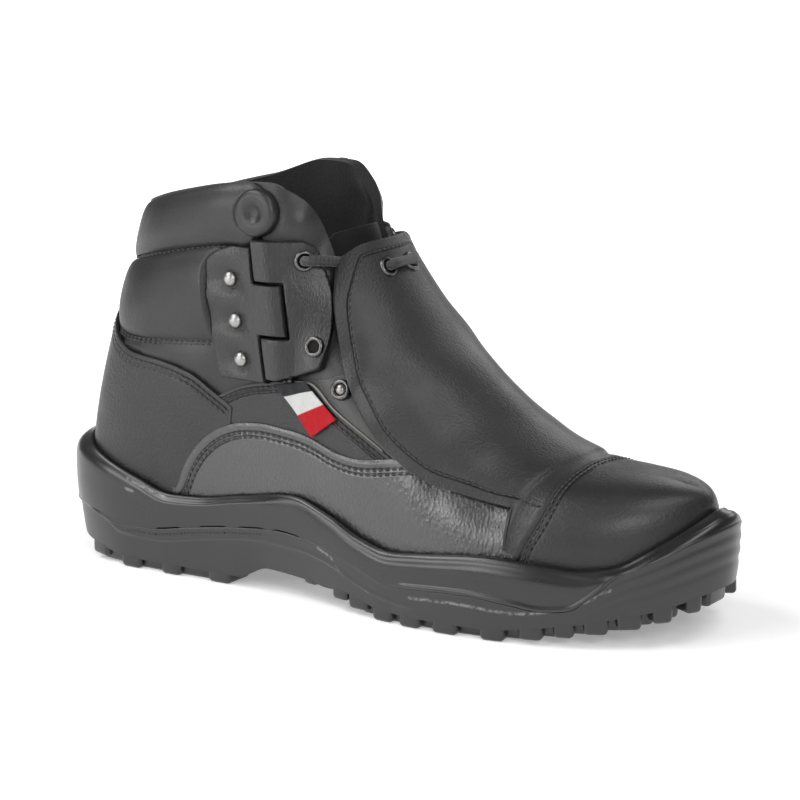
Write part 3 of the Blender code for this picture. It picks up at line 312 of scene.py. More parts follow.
@dataclass
class Last(Surface):
    """Form of the upper over the foot: a is the station, b the share."""

    span = (0.0, 1.0)
    side_flange: float = 8.4
    heel_flange: float = 12.0
    toe_flange: float = 9.5
    toe_tip: tuple[float, float] = (LENGTH, 6.0)

    def __post_init__(self) -> None:
        """Work out the outline and a coarse map of the sides."""
        self.halves = {-1: self._half(1), 1: self._half(2)}
        middle = 0.5 * (self.halves[1][1][:, 1].max() + self.halves[-1][1][:, 1].min())
        self.middle = np.array([LENGTH / 2, middle, 0.0])
        self.ribs, self.floor, self.inner = Track(RIBS), Track(FLOOR), Track(INNER_EDGE)
        g, t = np.meshgrid(np.linspace(0.03, 0.9, 130), np.linspace(0.0, 1.0, 50), indexing="ij")
        self.coarse = {s: (s * g.ravel(), t.ravel(), self.place(s * g.ravel(), t.ravel())) for s in (-1, 1)}

    def _half(self, column: int) -> tuple[Array, Array, Array]:
        """Dense half outline of the sole: share of its length, points, inward directions."""
        sign = -1.0 if column == 1 else 1.0
        near = [(row[0], sign * row[column]) for row in OUTLINE]
        other = [(row[0], -sign * row[3 - column]) for row in OUTLINE]
        ahead = [self.toe_tip, other[-1], other[-2]]
        points = np.array([other[1], other[0], (0.0, 0.0)] + near + ahead, float)
        chord = np.r_[0, np.cumsum(np.hypot(*np.diff(points, axis=0).T) ** 0.5)]
        tangent = np.zeros_like(points)
        for k in range(1, len(points) - 1):
            d0, d1 = chord[k] - chord[k - 1], chord[k + 1] - chord[k]
            before, after = (points[k] - points[k - 1]) / d0, (points[k + 1] - points[k]) / d1
            tangent[k] = (before * d1 + after * d0) / (d0 + d1)
        dense = []
        for k in range(2, len(points) - 3):
            d = chord[k + 1] - chord[k]
            for t in np.linspace(0, 1, 24, endpoint=False):
                dense.append(hermite(points[k], points[k + 1], d * tangent[k], d * tangent[k + 1], t))
        line = np.array(dense + [points[-3]])
        run = run_length(line)
        along = np.gradient(line, run, axis=0)
        inward = np.c_[-along[:, 1], along[:, 0]] * (-sign)
        inward[0], inward[-1] = (1.0, 0.0), (-1.0, 0.0)
        return run / run[-1], line, unit(inward)

    @staticmethod
    def unwrap(g: Array) -> tuple[Array, Array]:
        """Side and share of stations; those past the toe tip come back on the other side."""
        side, share = np.where(g < 0, -1, 1), np.abs(g)
        return np.where(share > 1, -side, side), np.where(share > 1, 2 - share, share)

    def outline(self, g: Array, inset: Number = 0.0) -> tuple[Array, Array]:
        """Points of the sole outline moved inward, and the inward directions."""
        g = np.asarray(g, float)
        side, share = self.unwrap(g)
        point, normal = np.empty(g.shape + (2,)), np.empty(g.shape + (2,))
        for s, (run, line, inward) in self.halves.items():
            own = side == s
            for k in (0, 1):
                point[own, k] = np.interp(share[own], run, line[:, k])
                normal[own, k] = np.interp(share[own], run, inward[:, k])
        normal = unit(normal)
        return point + np.asarray(inset, float)[..., None] * normal, normal

    def feather(self, g: Array) -> tuple[Array, Array]:
        """Points where the upper meets the sole, and the inward directions."""
        _, normal = self.outline(g)
        end = np.where(normal[..., 0] > 0, self.heel_flange, self.toe_flange)
        return self.outline(g, self.side_flange + (end - self.side_flange) * normal[..., 0] ** 2)

    @staticmethod
    def lean(inward: Array, degrees: Number) -> Array:
        """Directions leaning from upright towards the inside of the boot."""
        angle = np.radians(degrees)
        return np.concatenate([inward * np.sin(angle)[..., None], np.cos(angle)[..., None]], axis=-1)

    def section(self, g: Array) -> tuple[Array, Array, Array, Array]:
        """Control points of the upper's sections, from the sole to the top edge."""
        side, share = self.unwrap(g)
        foot, normal = self.feather(g)
        x, z, half, mid, lean0, reach0, lean1, reach1 = (self.ribs(share, k) for k in range(8))
        inner = side > 0
        x, z, half = (value + inner * self.inner(share, k) for k, value in enumerate((x, z, half)))
        half = np.where(share >= THROAT_END, 0.0, np.maximum(half, 0.0))
        start = np.concatenate([foot, (self.floor(foot[..., 0]) + 0.8)[..., None]], axis=-1)
        end = np.stack([x, mid + side * half, z], axis=-1)
        turn = blend(0.50, THROAT_END, share)[..., None]
        inward = unit(normal * (1 - turn) + unit((end - start)[..., :2]) * turn)
        return (start, start + reach0[..., None] * self.lean(normal, lean0),
                end - reach1[..., None] * self.lean(inward, lean1), end)

    def place(self, a: Array, b: Array) -> Array:
        """Points of the upper's outer face at stations and shares."""
        return bezier(self.section(np.asarray(a, float)), b)

    def normal(self, a: Array, b: Array) -> Array:
        """Outward directions of the upper."""
        along, up = self.slopes(a, b)
        n = np.cross(along, up)
        ridge = (self.unwrap(a)[1] >= THROAT_END) & (b > 0.97)
        n[..., 1] = np.where(ridge, 0.0, n[..., 1])
        weak = np.linalg.norm(n, axis=-1) < 1e-3
        n[weak] = (0.1, 0.0, 1.0)
        n = unit(n)
        outward = -self.feather(a)[1]
        facing = (n[..., :2] * outward).sum(-1) + 0.6 * n[..., 2]
        return np.where(facing[..., None] < 0, -n, n)

    def smooth_path(self, a: Array, b: Array, step: float) -> tuple[Array, Array]:
        """Path on the upper with its points evenly spaced and its corners eased."""
        run = run_length(self.place(a, b))
        even = np.linspace(0, run[-1], max(int(run[-1] / step), 8))
        a, b = np.interp(even, run, a), np.interp(even, run, b)
        for _ in range(3):
            a[1:-1], b[1:-1] = (a[:-2] + 2 * a[1:-1] + a[2:]) / 4, (b[:-2] + 2 * b[1:-1] + b[2:]) / 4
        return a, b

    def level(self, g: Array, height: Union[Number, Callable[[Array], Array]]) -> Array:
        """Shares at which sections reach a height, or an edge given as height by x."""
        points = self.section(np.asarray(g, float))
        low, high = np.zeros(np.shape(g)), np.ones(np.shape(g))
        for _ in range(34):
            middle = (low + high) / 2
            spot = bezier(points, middle)
            edge = height(spot[..., 0]) if callable(height) else height
            under = spot[..., 2] < edge
            low, high = np.where(under, middle, low), np.where(under, high, middle)
        return low

    def find(self, side: int, x: Array, z: Array) -> tuple[Array, Array]:
        """Stations and shares of points of a side given by x and z."""
        x, z = np.broadcast_arrays(np.asarray(x, float), np.asarray(z, float))
        g, t, spots = self.coarse[side]
        flat = np.stack([x.ravel(), z.ravel()], axis=-1)
        near = np.array([np.argmin((spots[:, 0] - p[0]) ** 2 + (spots[:, 2] - p[1]) ** 2) for p in flat])
        target = np.stack([x, np.zeros_like(x), z], axis=-1)
        return self.snap(target, g[near].reshape(x.shape), t[near].reshape(x.shape), (0, 2))

    def at_side(self, side: int, x: Number, z: Number, lift: Number = 0.0) -> Array:
        """Points of a side given by x and z, lifted off the upper."""
        return self.lifted(*self.find(side, x, z), lift)


class GuardForm(Surface):
    """Form of the metatarsal guard: a runs from its top edge to the toe seam, b from side to side."""

    reach = (0.03, 0.02)

    def __init__(self, last: Last) -> None:
        """Lay the sections over the upper."""
        rows = np.array(GUARD, float)
        mid = Track([(140, 0.0), (190, 1.5), (255, 3.5), (285, 6.0)])(rows[:, 0])
        self.tracks = {}
        for side in (-1, 1):
            edge = last.at_side(side, rows[:, 2], rows[:, 3])
            edge[:, 0], edge[:, 2] = rows[:, 2], rows[:, 3]
            edge[:, 1] += side * rows[:, 4]
            top = np.stack([rows[:, 0], mid, rows[:, 1]], axis=-1)
            rise = edge + rows[:, 6:7] * last.lean(unit((top - edge)[:, :2]), rows[:, 5])
            sweep = -0.62 * (rows[:, 0] - rows[:, 2]) * blend(7, 10, np.arange(len(rows)))
            near = top + np.stack([sweep, side * rows[:, 7], np.zeros(len(rows))], axis=-1)
            table = np.concatenate([np.arange(len(rows))[:, None], edge, rise, near, top], axis=1)
            self.tracks[side] = Track(table)

    def place(self, a: Array, b: Array) -> Array:
        """Points of the guard's outer face."""
        a, b = np.broadcast_arrays(np.asarray(a, float), np.asarray(b, float))
        out = np.empty(a.shape + (3,))
        for side, track in self.tracks.items():
            own = np.where(b < 0, -1, 1) == side
            values = np.stack([track(a[own], k) for k in range(12)], axis=-1)
            points = [values[..., k:k + 3] for k in (0, 3, 6, 9)]
            out[own] = bezier(points, 1 - np.abs(b[own]))
        return out

    def normal(self, a: Array, b: Array) -> Array:
        """Outward directions of the guard."""
        along, across = self.slopes(np.clip(a, 0.03, 9.97), b)
        n = unit(np.cross(across, along))
        spot = self.place(a, b)
        facing = n[..., 2] + 0.5 * n[..., 1] * np.sign(spot[..., 1] - 2.0)
        return np.where(facing[..., None] < 0, -n, n)


class Wire:
    """A value in a shader, with arithmetic that adds Math nodes."""

    def __init__(self, recipe: "Recipe", socket: Any) -> None:
        """Hold a node's output."""
        self.recipe, self.socket = recipe, socket

    def calc(self, operation: str, a: Any, b: Any = 0.0) -> "Wire":
        """Add one Math node."""
        return self.recipe.node("ShaderNodeMath", {"operation": operation}, {0: a, 1: b})

    def __add__(self, other: Any) -> "Wire":
        """Sum."""
        return self.calc("ADD", self, other)

    __radd__ = __add__

    def __sub__(self, other: Any) -> "Wire":
        """Difference."""
        return self.calc("SUBTRACT", self, other)

    def __rsub__(self, other: Any) -> "Wire":
        """Difference from a number."""
        return self.calc("SUBTRACT", other, self)

    def __mul__(self, other: Any) -> "Wire":
        """Product."""
        return self.calc("MULTIPLY", self, other)

    __rmul__ = __mul__

    def __truediv__(self, other: Any) -> "Wire":
        """Quotient."""
        return self.calc("DIVIDE", self, other)

    def size(self) -> "Wire":
        """Value without its sign."""
        return self.calc("ABSOLUTE", self)

    def sine(self) -> "Wire":
        """Sine of the value."""
        return self.calc("SINE", self)

    def step(self, low: float, high: float) -> "Wire":
        """Smooth step from 0 at low to 1 at high; low may be the larger."""
        flip = low > high
        ends = (1.0, 0.0) if flip else (0.0, 1.0)
        return self.recipe.node("ShaderNodeMapRange", {"interpolation_type": "SMOOTHSTEP"}, {
            "Value": self, "From Min": min(low, high), "From Max": max(low, high),
            "To Min": ends[0], "To Max": ends[1]})

    def near(self, place: float, width: float) -> "Wire":
        """Bell that is 1 at a place and 0 a width away."""
        return (self - place).size().step(width, 0.0)


class Recipe:
    """Node tree of one finish."""

    def __init__(self, name: str) -> None:
        """Start a material with its shader."""
        self.material = bpy.data.materials.new(name)
        self.material.use_nodes = True
        self.tree = self.material.node_tree
        self.shader = self.tree.nodes["Principled BSDF"]

    def node(self, kind: str, setup: Optional[dict[str, Any]] = None, inputs: Optional[dict[Any, Any]] = None,
             out: Union[int, str] = 0) -> Wire:
        """Add a node.

        Args:
            kind: the node's type.
            setup: its settings, set first.
            inputs: values or links of its sockets.
            out: the output to return.

        Returns:
            The output.
        """
        made = self.tree.nodes.new(kind)
        for key, value in (setup or {}).items():
            setattr(made, key, value)
        for key, value in (inputs or {}).items():
            if isinstance(value, Wire):
                self.tree.links.new(value.socket, made.inputs[key])
            else:
                made.inputs[key].default_value = value
        return Wire(self, made.outputs[out])

    def coordinates(self, stretch: tuple[float, float, float] = (1.0, 1.0, 1.0)) -> Wire:
        """Object coordinates, stretched."""
        raw = self.node("ShaderNodeTexCoord", out="Object")
        return self.node("ShaderNodeMapping", {}, {"Vector": raw, "Scale": stretch})

    def vector(self, operation: str, inputs: dict[Any, Any], out: Union[int, str] = 0) -> Wire:
        """Add one Vector Math node."""
        return self.node("ShaderNodeVectorMath", {"operation": operation}, inputs, out)

    def distance(self) -> Wire:
        """Distance from the object's origin in millimetres."""
        return self.vector("LENGTH", {0: self.coordinates()}, "Value") / MM

    def flat(self, axis: int) -> Wire:
        """One coordinate of the piece's own flat map."""
        raw = self.node("ShaderNodeTexCoord", out="UV")
        return self.node("ShaderNodeSeparateXYZ", {}, {0: raw}, axis)

    def mark(self, name: str) -> Wire:
        """A number kept on the mesh."""
        return self.node("ShaderNodeAttribute", {"attribute_name": name}, out="Fac")

    def noise(self, vector: Wire, cell: float, detail: float = 2.0, rough: float = 0.5) -> Wire:
        """Cloudy noise with cells of a size in millimetres."""
        return self.node("ShaderNodeTexNoise", {}, {
            "Vector": vector, "Scale": 1 / (cell * MM), "Detail": detail, "Roughness": rough}, "Fac")

    def pebbles(self, vector: Wire, cell: float, smooth: float = 0.35) -> Wire:
        """Rounded cells, 0 at their middles, of a size in millimetres."""
        return self.node("ShaderNodeTexVoronoi", {"feature": "SMOOTH_F1"}, {
            "Vector": vector, "Scale": 1 / (cell * MM), "Smoothness": smooth, "Randomness": 0.95}, "Distance")

    def warp(self, vector: Wire, cell: float, amount: float) -> Wire:
        """Vector pushed about by noise; sizes in millimetres."""
        cloud = self.node("ShaderNodeTexNoise", {}, {
            "Vector": vector, "Scale": 1 / (cell * MM), "Detail": 1.0}, "Color")
        centred = self.vector("SUBTRACT", {0: cloud, 1: (0.5, 0.5, 0.5)})
        return self.vector("ADD", {0: vector, 1: self.vector("SCALE", {0: centred, "Scale": amount * MM})})

    def tint(self, share: Wire, low: Sequence[float], high: Sequence[float]) -> Wire:
        """Colour between two by a share."""
        made = self.node("ShaderNodeMix", {"data_type": "RGBA", "clamp_factor": True}, {0: share}, 2)
        mixer = made.socket.node
        for key, value in ((6, low), (7, high)):
            if isinstance(value, Wire):
                self.tree.links.new(value.socket, mixer.inputs[key])
            else:
                mixer.inputs[key].default_value = (*value, 1.0)
        return made

    def relief(self, height: Wire) -> None:
        """Bump from a height in millimetres."""
        bump = self.node("ShaderNodeBump", {}, {"Height": height, "Distance": MM, "Strength": 1.0}, "Normal")
        self.tree.links.new(bump.socket, self.shader.inputs["Normal"])

    def feed(self, socket: str, value: Any) -> None:
        """Set a shader socket to a number, a colour or a link."""
        if isinstance(value, Wire):
            self.tree.links.new(value.socket, self.shader.inputs[socket])
        elif isinstance(value, (tuple, list)):
            self.shader.inputs[socket].default_value = (*value, 1.0)
        else:
            self.shader.inputs[socket].default_value = value


@dataclass(frozen=True)
class LeatherFinish:
    """Black coated leather: grain, fine pores, sewn channels along a marked edge, with painted shade in the
    channels.
    """

    name: str
    colour: tuple[float, float, float] = (0.011, 0.011, 0.0115)
    roughness: float = 0.40
    cell: float = 1.1
    depth: float = 0.035
    stretch: tuple[float, float, float] = (1.0, 1.0, 1.0)
    coat: float = 0.12
    gloss: float = 0.5
    sewn: bool = False
    channel: float = 1.15
    lip: float = 0.0
    lip_width: float = 3.0

    def build(self) -> bpy.types.Material:
        """Make the material."""
        mix = Recipe(self.name)
        spot = mix.coordinates(self.stretch)
        bent = mix.warp(spot, self.cell * 2.2, self.cell * 0.8)
        grain = 0.62 - mix.pebbles(bent, self.cell)
        pores = mix.noise(spot, 0.28, 2.0)
        cloud = mix.noise(spot, 26.0, 3.0)
        patch = mix.noise(spot, 9.0, 2.0)
        height = grain * (self.depth * 2.0) * (0.55 + 0.9 * patch) + pores * (self.depth * 0.5)
        shade = cloud
        if self.lip:
            fold = mix.mark("edge").near(self.lip_width * 0.5, self.lip_width * 0.62)
            height = height * (1.0 - fold * 0.7) + fold * self.lip
        if self.sewn:
            groove = mix.mark("seam").near(0.0, self.channel)
            height = height - groove * 0.7
            # Painted shade: the colour darkens along the sewn channel.
            shade = shade - groove * 1.2
        dark = tuple(c * 0.62 for c in self.colour)
        light = tuple(c * 1.4 for c in self.colour)
        mix.feed("Base Color", mix.tint(shade, dark, light))
        mix.feed("Roughness", self.roughness + (patch - 0.5) * 0.16 + (0.5 - grain) * 0.10)
        mix.feed("Coat Weight", self.coat)
        mix.feed("Coat Roughness", 0.22)
        mix.feed("Specular IOR Level", self.gloss)
        mix.relief(height)
        return mix.material


@dataclass(frozen=True)
class RubberFinish:
    """Black moulded sole: satin skin with faint flow marks."""

    name: str
    colour: tuple[float, float, float] = (0.013, 0.013, 0.0135)
    roughness: float = 0.42
    pit: float = 0.02
    worn: bool = False
    scuff_and_highlight_tint: tuple[float, float, float] = (0.17, 0.17, 0.17)

    def build(self) -> bpy.types.Material:
        """Make the material."""
        mix = Recipe(self.name)
        spot = mix.coordinates()
        cloud = mix.noise(spot, 18.0, 3.0)
        fine = mix.noise(spot, 0.5, 2.0)
        scuff = mix.noise(mix.coordinates((1.0, 1.0, 3.0)), 5.0, 4.0, 0.65).step(0.62, 0.8)
        dark = tuple(c * 0.75 for c in self.colour)
        light = tuple(c * 1.35 for c in self.colour)
        skin = mix.tint(cloud + scuff * 0.25, dark, light)
        dull = self.roughness + (cloud - 0.5) * 0.18 + scuff * 0.08
        if self.worn:
            # Lighter tint along the marked lines: rubbed wear on the heel lines, painted highlight on the
            # waist lines.
            worn = mix.mark("worn").near(0.0, 1.1) * mix.noise(spot, 2.2, 3.0).step(0.36, 0.6)
            skin, dull = mix.tint(worn, skin, self.scuff_and_highlight_tint), dull + worn * 0.1
        mix.feed("Base Color", skin)
        mix.feed("Roughness", dull)
        mix.feed("Coat Weight", 0.25)
        mix.feed("Coat Roughness", 0.25)
        mix.relief(fine * self.pit + cloud * 0.1)
        return mix.material


@dataclass(frozen=True)
class LiningFinish:
    """Dark padded lining with a fine knitted grain."""

    name: str
    colour: tuple[float, float, float] = (0.006, 0.006, 0.006)
    cell: float = 1.0
    sheen: float = 0.1

    def build(self) -> bpy.types.Material:
        """Make the material."""
        mix = Recipe(self.name)
        spot = mix.coordinates()
        knit = mix.pebbles(mix.warp(spot, 2.4, 0.5), self.cell, 0.2)
        cloud = mix.noise(spot, 14.0, 3.0)
        light = tuple(c * 2.4 for c in self.colour)
        mix.feed("Base Color", mix.tint(cloud * 0.6 + (0.6 - knit) * 0.5, self.colour, light))
        mix.feed("Roughness", 0.72 + (cloud - 0.5) * 0.2)
        mix.feed("Sheen Weight", self.sheen)
        mix.feed("Specular IOR Level", 0.25)
        mix.relief((0.6 - knit) * 0.16)
        return mix.material


@dataclass(frozen=True)
class MetalFinish:
    """Plated metal with fine rubbing."""

    name: str
    colour: tuple[float, float, float] = (0.60, 0.59, 0.57)
    roughness: float = 0.26

    def build(self) -> bpy.types.Material:
        """Make the material."""
        mix = Recipe(self.name)
        spot = mix.coordinates()
        rub = mix.noise(spot, 0.9, 4.0, 0.6)
        dark = tuple(c * 0.7 for c in self.colour)
        mix.feed("Base Color", mix.tint(rub, dark, self.colour))
        mix.feed("Roughness", self.roughness + (rub - 0.5) * 0.25)
        mix.feed("Metallic", 1.0)
        mix.relief(rub * 0.02)
        return mix.material


@dataclass(frozen=True)
class ThreadFinish:
    """Twisted thread or braided lace, its strands along the piece's own flat map."""

    name: str
    colour: tuple[float, float, float] = (0.008, 0.008, 0.008)
    turns: float = 0.0
    strands: float = 6.0

    def build(self) -> bpy.types.Material:
        """Make the material."""
        mix = Recipe(self.name)
        if self.turns:
            along, round_ = mix.flat(0) * self.turns, mix.flat(1) * (self.strands * 2 * math.pi)
            weave = (along + round_).sine() * (along - round_).sine()
            depth = 0.16
        else:
            weave = mix.noise(mix.coordinates(), 0.25, 2.0)
            depth = 0.05
        light = tuple(c * 3.0 for c in self.colour)
        mix.feed("Base Color", mix.tint(weave * 0.5 + 0.4, self.colour, light))
        mix.feed("Roughness", 0.62 + weave * 0.12)
        mix.feed("Sheen Weight", 0.2)
        mix.relief(weave * depth)
        return mix.material


@dataclass(frozen=True)
class TabFinish:
    """Plain woven tab in bands of colour along its flat map, its hidden end dark."""

    name: str
    dark: tuple[float, float, float] = (0.02, 0.022, 0.024)
    white: tuple[float, float, float] = (0.5, 0.5, 0.49)
    red: tuple[float, float, float] = (0.36, 0.004, 0.010)
    dark_end: float = 0.24
    white_end: float = 0.60

    def build(self) -> bpy.types.Material:
        """Make the material."""
        mix = Recipe(self.name)
        u, v = mix.flat(0), mix.flat(1)
        ribs = (u * 150.0).sine() * (v * 210.0).sine()
        first = mix.tint(v.step(self.dark_end - 0.008, self.dark_end + 0.008), self.dark, self.white)
        cloth = mix.tint(v.step(self.white_end - 0.008, self.white_end + 0.008), first, self.red)
        worn = mix.noise(mix.coordinates(), 3.0, 3.0).step(0.35, 0.75) * 0.3
        mix.feed("Base Color", mix.tint(worn * 0.5, cloth, (0.12, 0.09, 0.09)))
        mix.feed("Roughness", 0.7 + ribs * 0.1)
        mix.feed("Specular IOR Level", 0.15)
        mix.relief(ribs * 0.05)
        return mix.material


@dataclass(frozen=True)
class FloorFinish:
    """Pale studio floor."""

    name: str = "studio_floor"
    glow: float = 0.3

    def build(self) -> bpy.types.Material:
        """Make the material."""
        mix = Recipe(self.name)
        cloud = mix.noise(mix.coordinates(), 300.0, 2.0)
        mix.feed("Base Color", mix.tint(cloud, (0.90, 0.90, 0.90), (0.93, 0.93, 0.93)))
        mix.feed("Roughness", 0.7)
        far = mix.distance().step(300.0, 1300.0)
        mix.feed("Emission Color", mix.tint(far, (self.glow,) * 3, (1.0, 1.0, 1.0)))
        mix.feed("Emission Strength", 1.0)
        return mix.material


class Finishes:
    """The boot's materials, each made once."""

    def __init__(self) -> None:
        """Make every finish."""
        self.smooth = LeatherFinish("smooth_leather", roughness=0.42, coat=0.1).build()
        self.counter = LeatherFinish("counter_leather", depth=0.11, sewn=True, lip=0.2, lip_width=2.6).build()
        self.grain = LeatherFinish(
            "grain_leather", colour=(0.012, 0.012, 0.0125), roughness=0.27, cell=1.3, depth=0.11,
            stretch=(1.0, 1.0, 0.6), coat=0.45, gloss=0.9, sewn=True, lip=0.5, lip_width=3.4).build()
        self.toe = LeatherFinish("toe_leather", roughness=0.42, cell=1.1, depth=0.05, coat=0.1, sewn=True,
                                 channel=1.7).build()
        self.leaf = LeatherFinish("leaf_leather", roughness=0.35, cell=1.0, depth=0.085, coat=0.15,
                                  stretch=(1.3, 1.3, 0.6)).build()
        self.flap = LeatherFinish("flap_leather", colour=(0.015, 0.015, 0.0155), roughness=0.42, cell=1.05,
                                  depth=0.075, sewn=True).build()
        self.gusset = LeatherFinish("gusset_leather", roughness=0.36, coat=0.15).build()
        self.cut = LeatherFinish("cut_leather", colour=(0.2, 0.185, 0.16), roughness=0.7, coat=0.0).build()
        self.lining = LiningFinish("collar_lining").build()
        foam, rubber = (0.009, 0.009, 0.0095), (0.011, 0.011, 0.0115)
        self.midsole = RubberFinish("midsole_foam", colour=foam, roughness=0.30, worn=True).build()
        self.tread = RubberFinish("tread_rubber", colour=rubber, roughness=0.40, worn=True).build()
        self.lugs = RubberFinish("lug_rubber", colour=rubber, roughness=0.34).build()
        self.nickel = MetalFinish("nickel", colour=(0.42, 0.41, 0.40), roughness=0.4).build()
        self.dark_nickel = MetalFinish("dark_nickel", colour=(0.15, 0.145, 0.14), roughness=0.3).build()
        self.stud = MetalFinish("stud_nickel", colour=(0.34, 0.33, 0.32), roughness=0.34).build()
        self.thread = ThreadFinish("sewing_thread").build()
        self.lace = ThreadFinish("braided_lace", turns=170.0, strands=4.0).build()
        self.tab = TabFinish("woven_tab").build()
        self.floor = FloorFinish().build()
        # Near-black colour for the plugs in open eyelets: painted shade in the hole.
        self.hole = LiningFinish("eyelet_hole_painted_shade", colour=(0.001, 0.001, 0.001), sheen=0.0).build()
        self.tongue = LiningFinish("tongue_cloth", colour=(0.003, 0.003, 0.003), sheen=0.05).build()


class Bench:
    """Operators on one new piece at a time, and its place on the part."""

    def __init__(self, last: Last, finishes: Finishes) -> None:
        """Keep what every piece needs."""
        self.last, self.finishes = last, finishes

    @staticmethod
    def alone(item: bpy.types.Object) -> None:
        """Select one object."""
        bpy.ops.object.select_all(action="DESELECT")
        item.select_set(True)
        bpy.context.view_layer.objects.active = item

    @contextmanager
    def editing(self, item: bpy.types.Object) -> Iterator[None]:
        """Edit mode on one object, all of it selected."""
        self.alone(item)
        bpy.ops.object.mode_set(mode="EDIT")
        bpy.ops.mesh.select_all(action="SELECT")
        yield
        bpy.ops.object.mode_set(mode="OBJECT")

    @staticmethod
    def added(name: str) -> bpy.types.Object:
        """The primitive that was just added, named."""
        item = bpy.context.object
        item.name = item.data.name = name
        return item

    def metres(self, points: Array) -> Array:
        """Points of the tables in the part's frame."""
        return (np.asarray(points, float) - self.last.middle) * MM

    def grid(self, name: str, columns: int, rows: int) -> tuple[bpy.types.Object, Array, Array]:
        """Flat grid with its unit coordinates.

        Args:
            name: the piece's name.
            columns: points along the first coordinate.
            rows: points along the second coordinate.

        Returns:
            The object and the two coordinates of its points.
        """
        bpy.ops.object.select_all(action="DESELECT")
        bpy.ops.mesh.primitive_grid_add(x_subdivisions=columns - 1, y_subdivisions=rows - 1, size=2.0,
                                        calc_uvs=True)
        item = self.added(name)
        flat = self.places(item)
        return item, (flat[:, 0] + 1) / 2, (flat[:, 1] + 1) / 2

    def shape(self, item: bpy.types.Object, points: Array) -> None:
        """Move a mesh's points to places in the tables' frame."""
        item.data.vertices.foreach_set("co", self.metres(points).ravel())
        item.data.update()

    @staticmethod
    def places(item: bpy.types.Object) -> Array:
        """Points of a mesh, in metres."""
        flat = np.empty(len(item.data.vertices) * 3)
        item.data.vertices.foreach_get("co", flat)
        return flat.reshape(-1, 3)

    def mend(self, item: bpy.types.Object, outside: bool = False, distance: float = 0.02) -> None:
        """Merge doubled points, and turn a closed mesh outwards."""
        with self.editing(item):
            bpy.ops.mesh.remove_doubles(threshold=distance * MM)
            if outside:
                bpy.ops.mesh.normals_make_consistent(inside=False)

    def face(self, item: bpy.types.Object, outward: Array) -> None:
        """Turn a sheet's faces to the side that most of the given point directions show."""
        count = len(item.data.polygons)
        normals, starts = np.empty(count * 3), np.empty(count, dtype=np.int32)
        item.data.polygons.foreach_get("normal", normals)
        item.data.polygons.foreach_get("loop_start", starts)
        corners = np.empty(len(item.data.loops), dtype=np.int32)
        item.data.loops.foreach_get("vertex_index", corners)
        first = corners[starts]
        if (normals.reshape(-1, 3) * outward[first]).sum(-1).mean() < 0:
            with self.editing(item):
                bpy.ops.mesh.flip_normals()

    def relax(self, item: bpy.types.Object, chosen: Array, times: int) -> None:
        """Even out the chosen points of a mesh, a number of times."""
        with self.editing(item):
            bpy.ops.mesh.select_mode(type="VERT")
            bpy.ops.mesh.select_all(action="DESELECT")
        item.data.vertices.foreach_set("select", chosen)
        bpy.ops.object.mode_set(mode="EDIT")
        bpy.ops.mesh.vertices_smooth(factor=0.5, repeat=times)
        bpy.ops.object.mode_set(mode="OBJECT")

    @staticmethod
    def note(item: bpy.types.Object, name: str, values: Array) -> None:
        """Keep a number on every point of a mesh."""
        made = item.data.attributes.get(name) or item.data.attributes.new(name, "FLOAT", "POINT")
        made.data.foreach_set("value", np.asarray(values, np.float32))

    def thicken(self, item: bpy.types.Object, thick: float, bevel: float = 0.0,
                weights: Optional[Array] = None, lining: bool = False) -> None:
        """Give a sheet a wall towards its back, with rounded rims.

        Args:
            item: the sheet.
            thick: the wall in millimetres.
            bevel: radius of the rims.
            weights: shares of the wall by point.
            lining: the back takes the second material.
        """
        self.alone(item)
        wall = item.modifiers.new("wall", "SOLIDIFY")
        wall.thickness = thick * MM
        wall.offset = -1.0
        wall.use_even_offset = False
        if lining:
            wall.material_offset = wall.material_offset_rim = 1
        if weights is not None:
            group = item.vertex_groups.new(name="wall")
            for k, weight in enumerate(weights):
                group.add([k], float(weight), "REPLACE")
            wall.vertex_group = "wall"
        if bevel:
            self.round_edges(item, bevel, 3, 48)
        self.apply(item)

    @staticmethod
    def round_edges(item: bpy.types.Object, radius: float, segments: int, angle: float) -> None:
        """Add a bevel on the edges sharper than an angle."""
        rim = item.modifiers.new("rim", "BEVEL")
        rim.width = radius * MM
        rim.segments = segments
        rim.limit_method = "ANGLE"
        rim.angle_limit = math.radians(angle)

    def apply(self, item: bpy.types.Object) -> None:
        """Apply every modifier."""
        self.alone(item)
        for name in [m.name for m in item.modifiers]:
            bpy.ops.object.modifier_apply(modifier=name)

    def settle(self, item: bpy.types.Object, finish: Sequence[bpy.types.Material], slot: str,
               nodes: Sequence[str] = (), angle: float = 38.0) -> None:
        """Dress a finished piece and fix it to the part.

        Args:
            item: the piece.
            finish: its materials.
            slot: not used.
            nodes: the solids that it stands for.
            angle: edges sharper than this stay crisp.
        """
        if not item.data.materials:
            for material in finish:
                item.data.materials.append(material)
        self.alone(item)
        bpy.ops.object.shade_smooth_by_angle(angle=math.radians(angle))
        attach(item, "root")
        if nodes:
            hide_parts(*nodes)
        LOG.info("%s: %d faces", item.name, len(item.data.polygons))

    def panel(self, name: str, size: tuple[int, int], where: Callable[[Array, Array], tuple[Array, Array]],
              lift: Union[float, Callable[[Array, Array], Array]]) -> bpy.types.Object:
        """Sheet laid on the upper.

        Args:
            name: the piece's name.
            size: points along its two coordinates.
            where: stations and shares by the sheet's own coordinates.
            lift: how far off the upper, a number or by station and share.

        Returns:
            The sheet.
        """
        item, u, v = self.grid(name, *size)
        g, t = where(u, v)
        rise = lift(g, t) if callable(lift) else np.full(len(g), float(lift))
        normal = self.last.normal(g, t)
        self.shape(item, self.last.place(g, t) + rise[:, None] * normal)
        self.face(item, normal)
        return item

    def swell(self, item: bpy.types.Object, rise: Array) -> None:
        """Move a mesh's points along their own normals, by millimetres."""
        normal = np.array([vertex.normal for vertex in item.data.vertices])
        item.data.vertices.foreach_set("co", (self.places(item) + rise[:, None] * MM * normal).ravel())
        item.data.update()

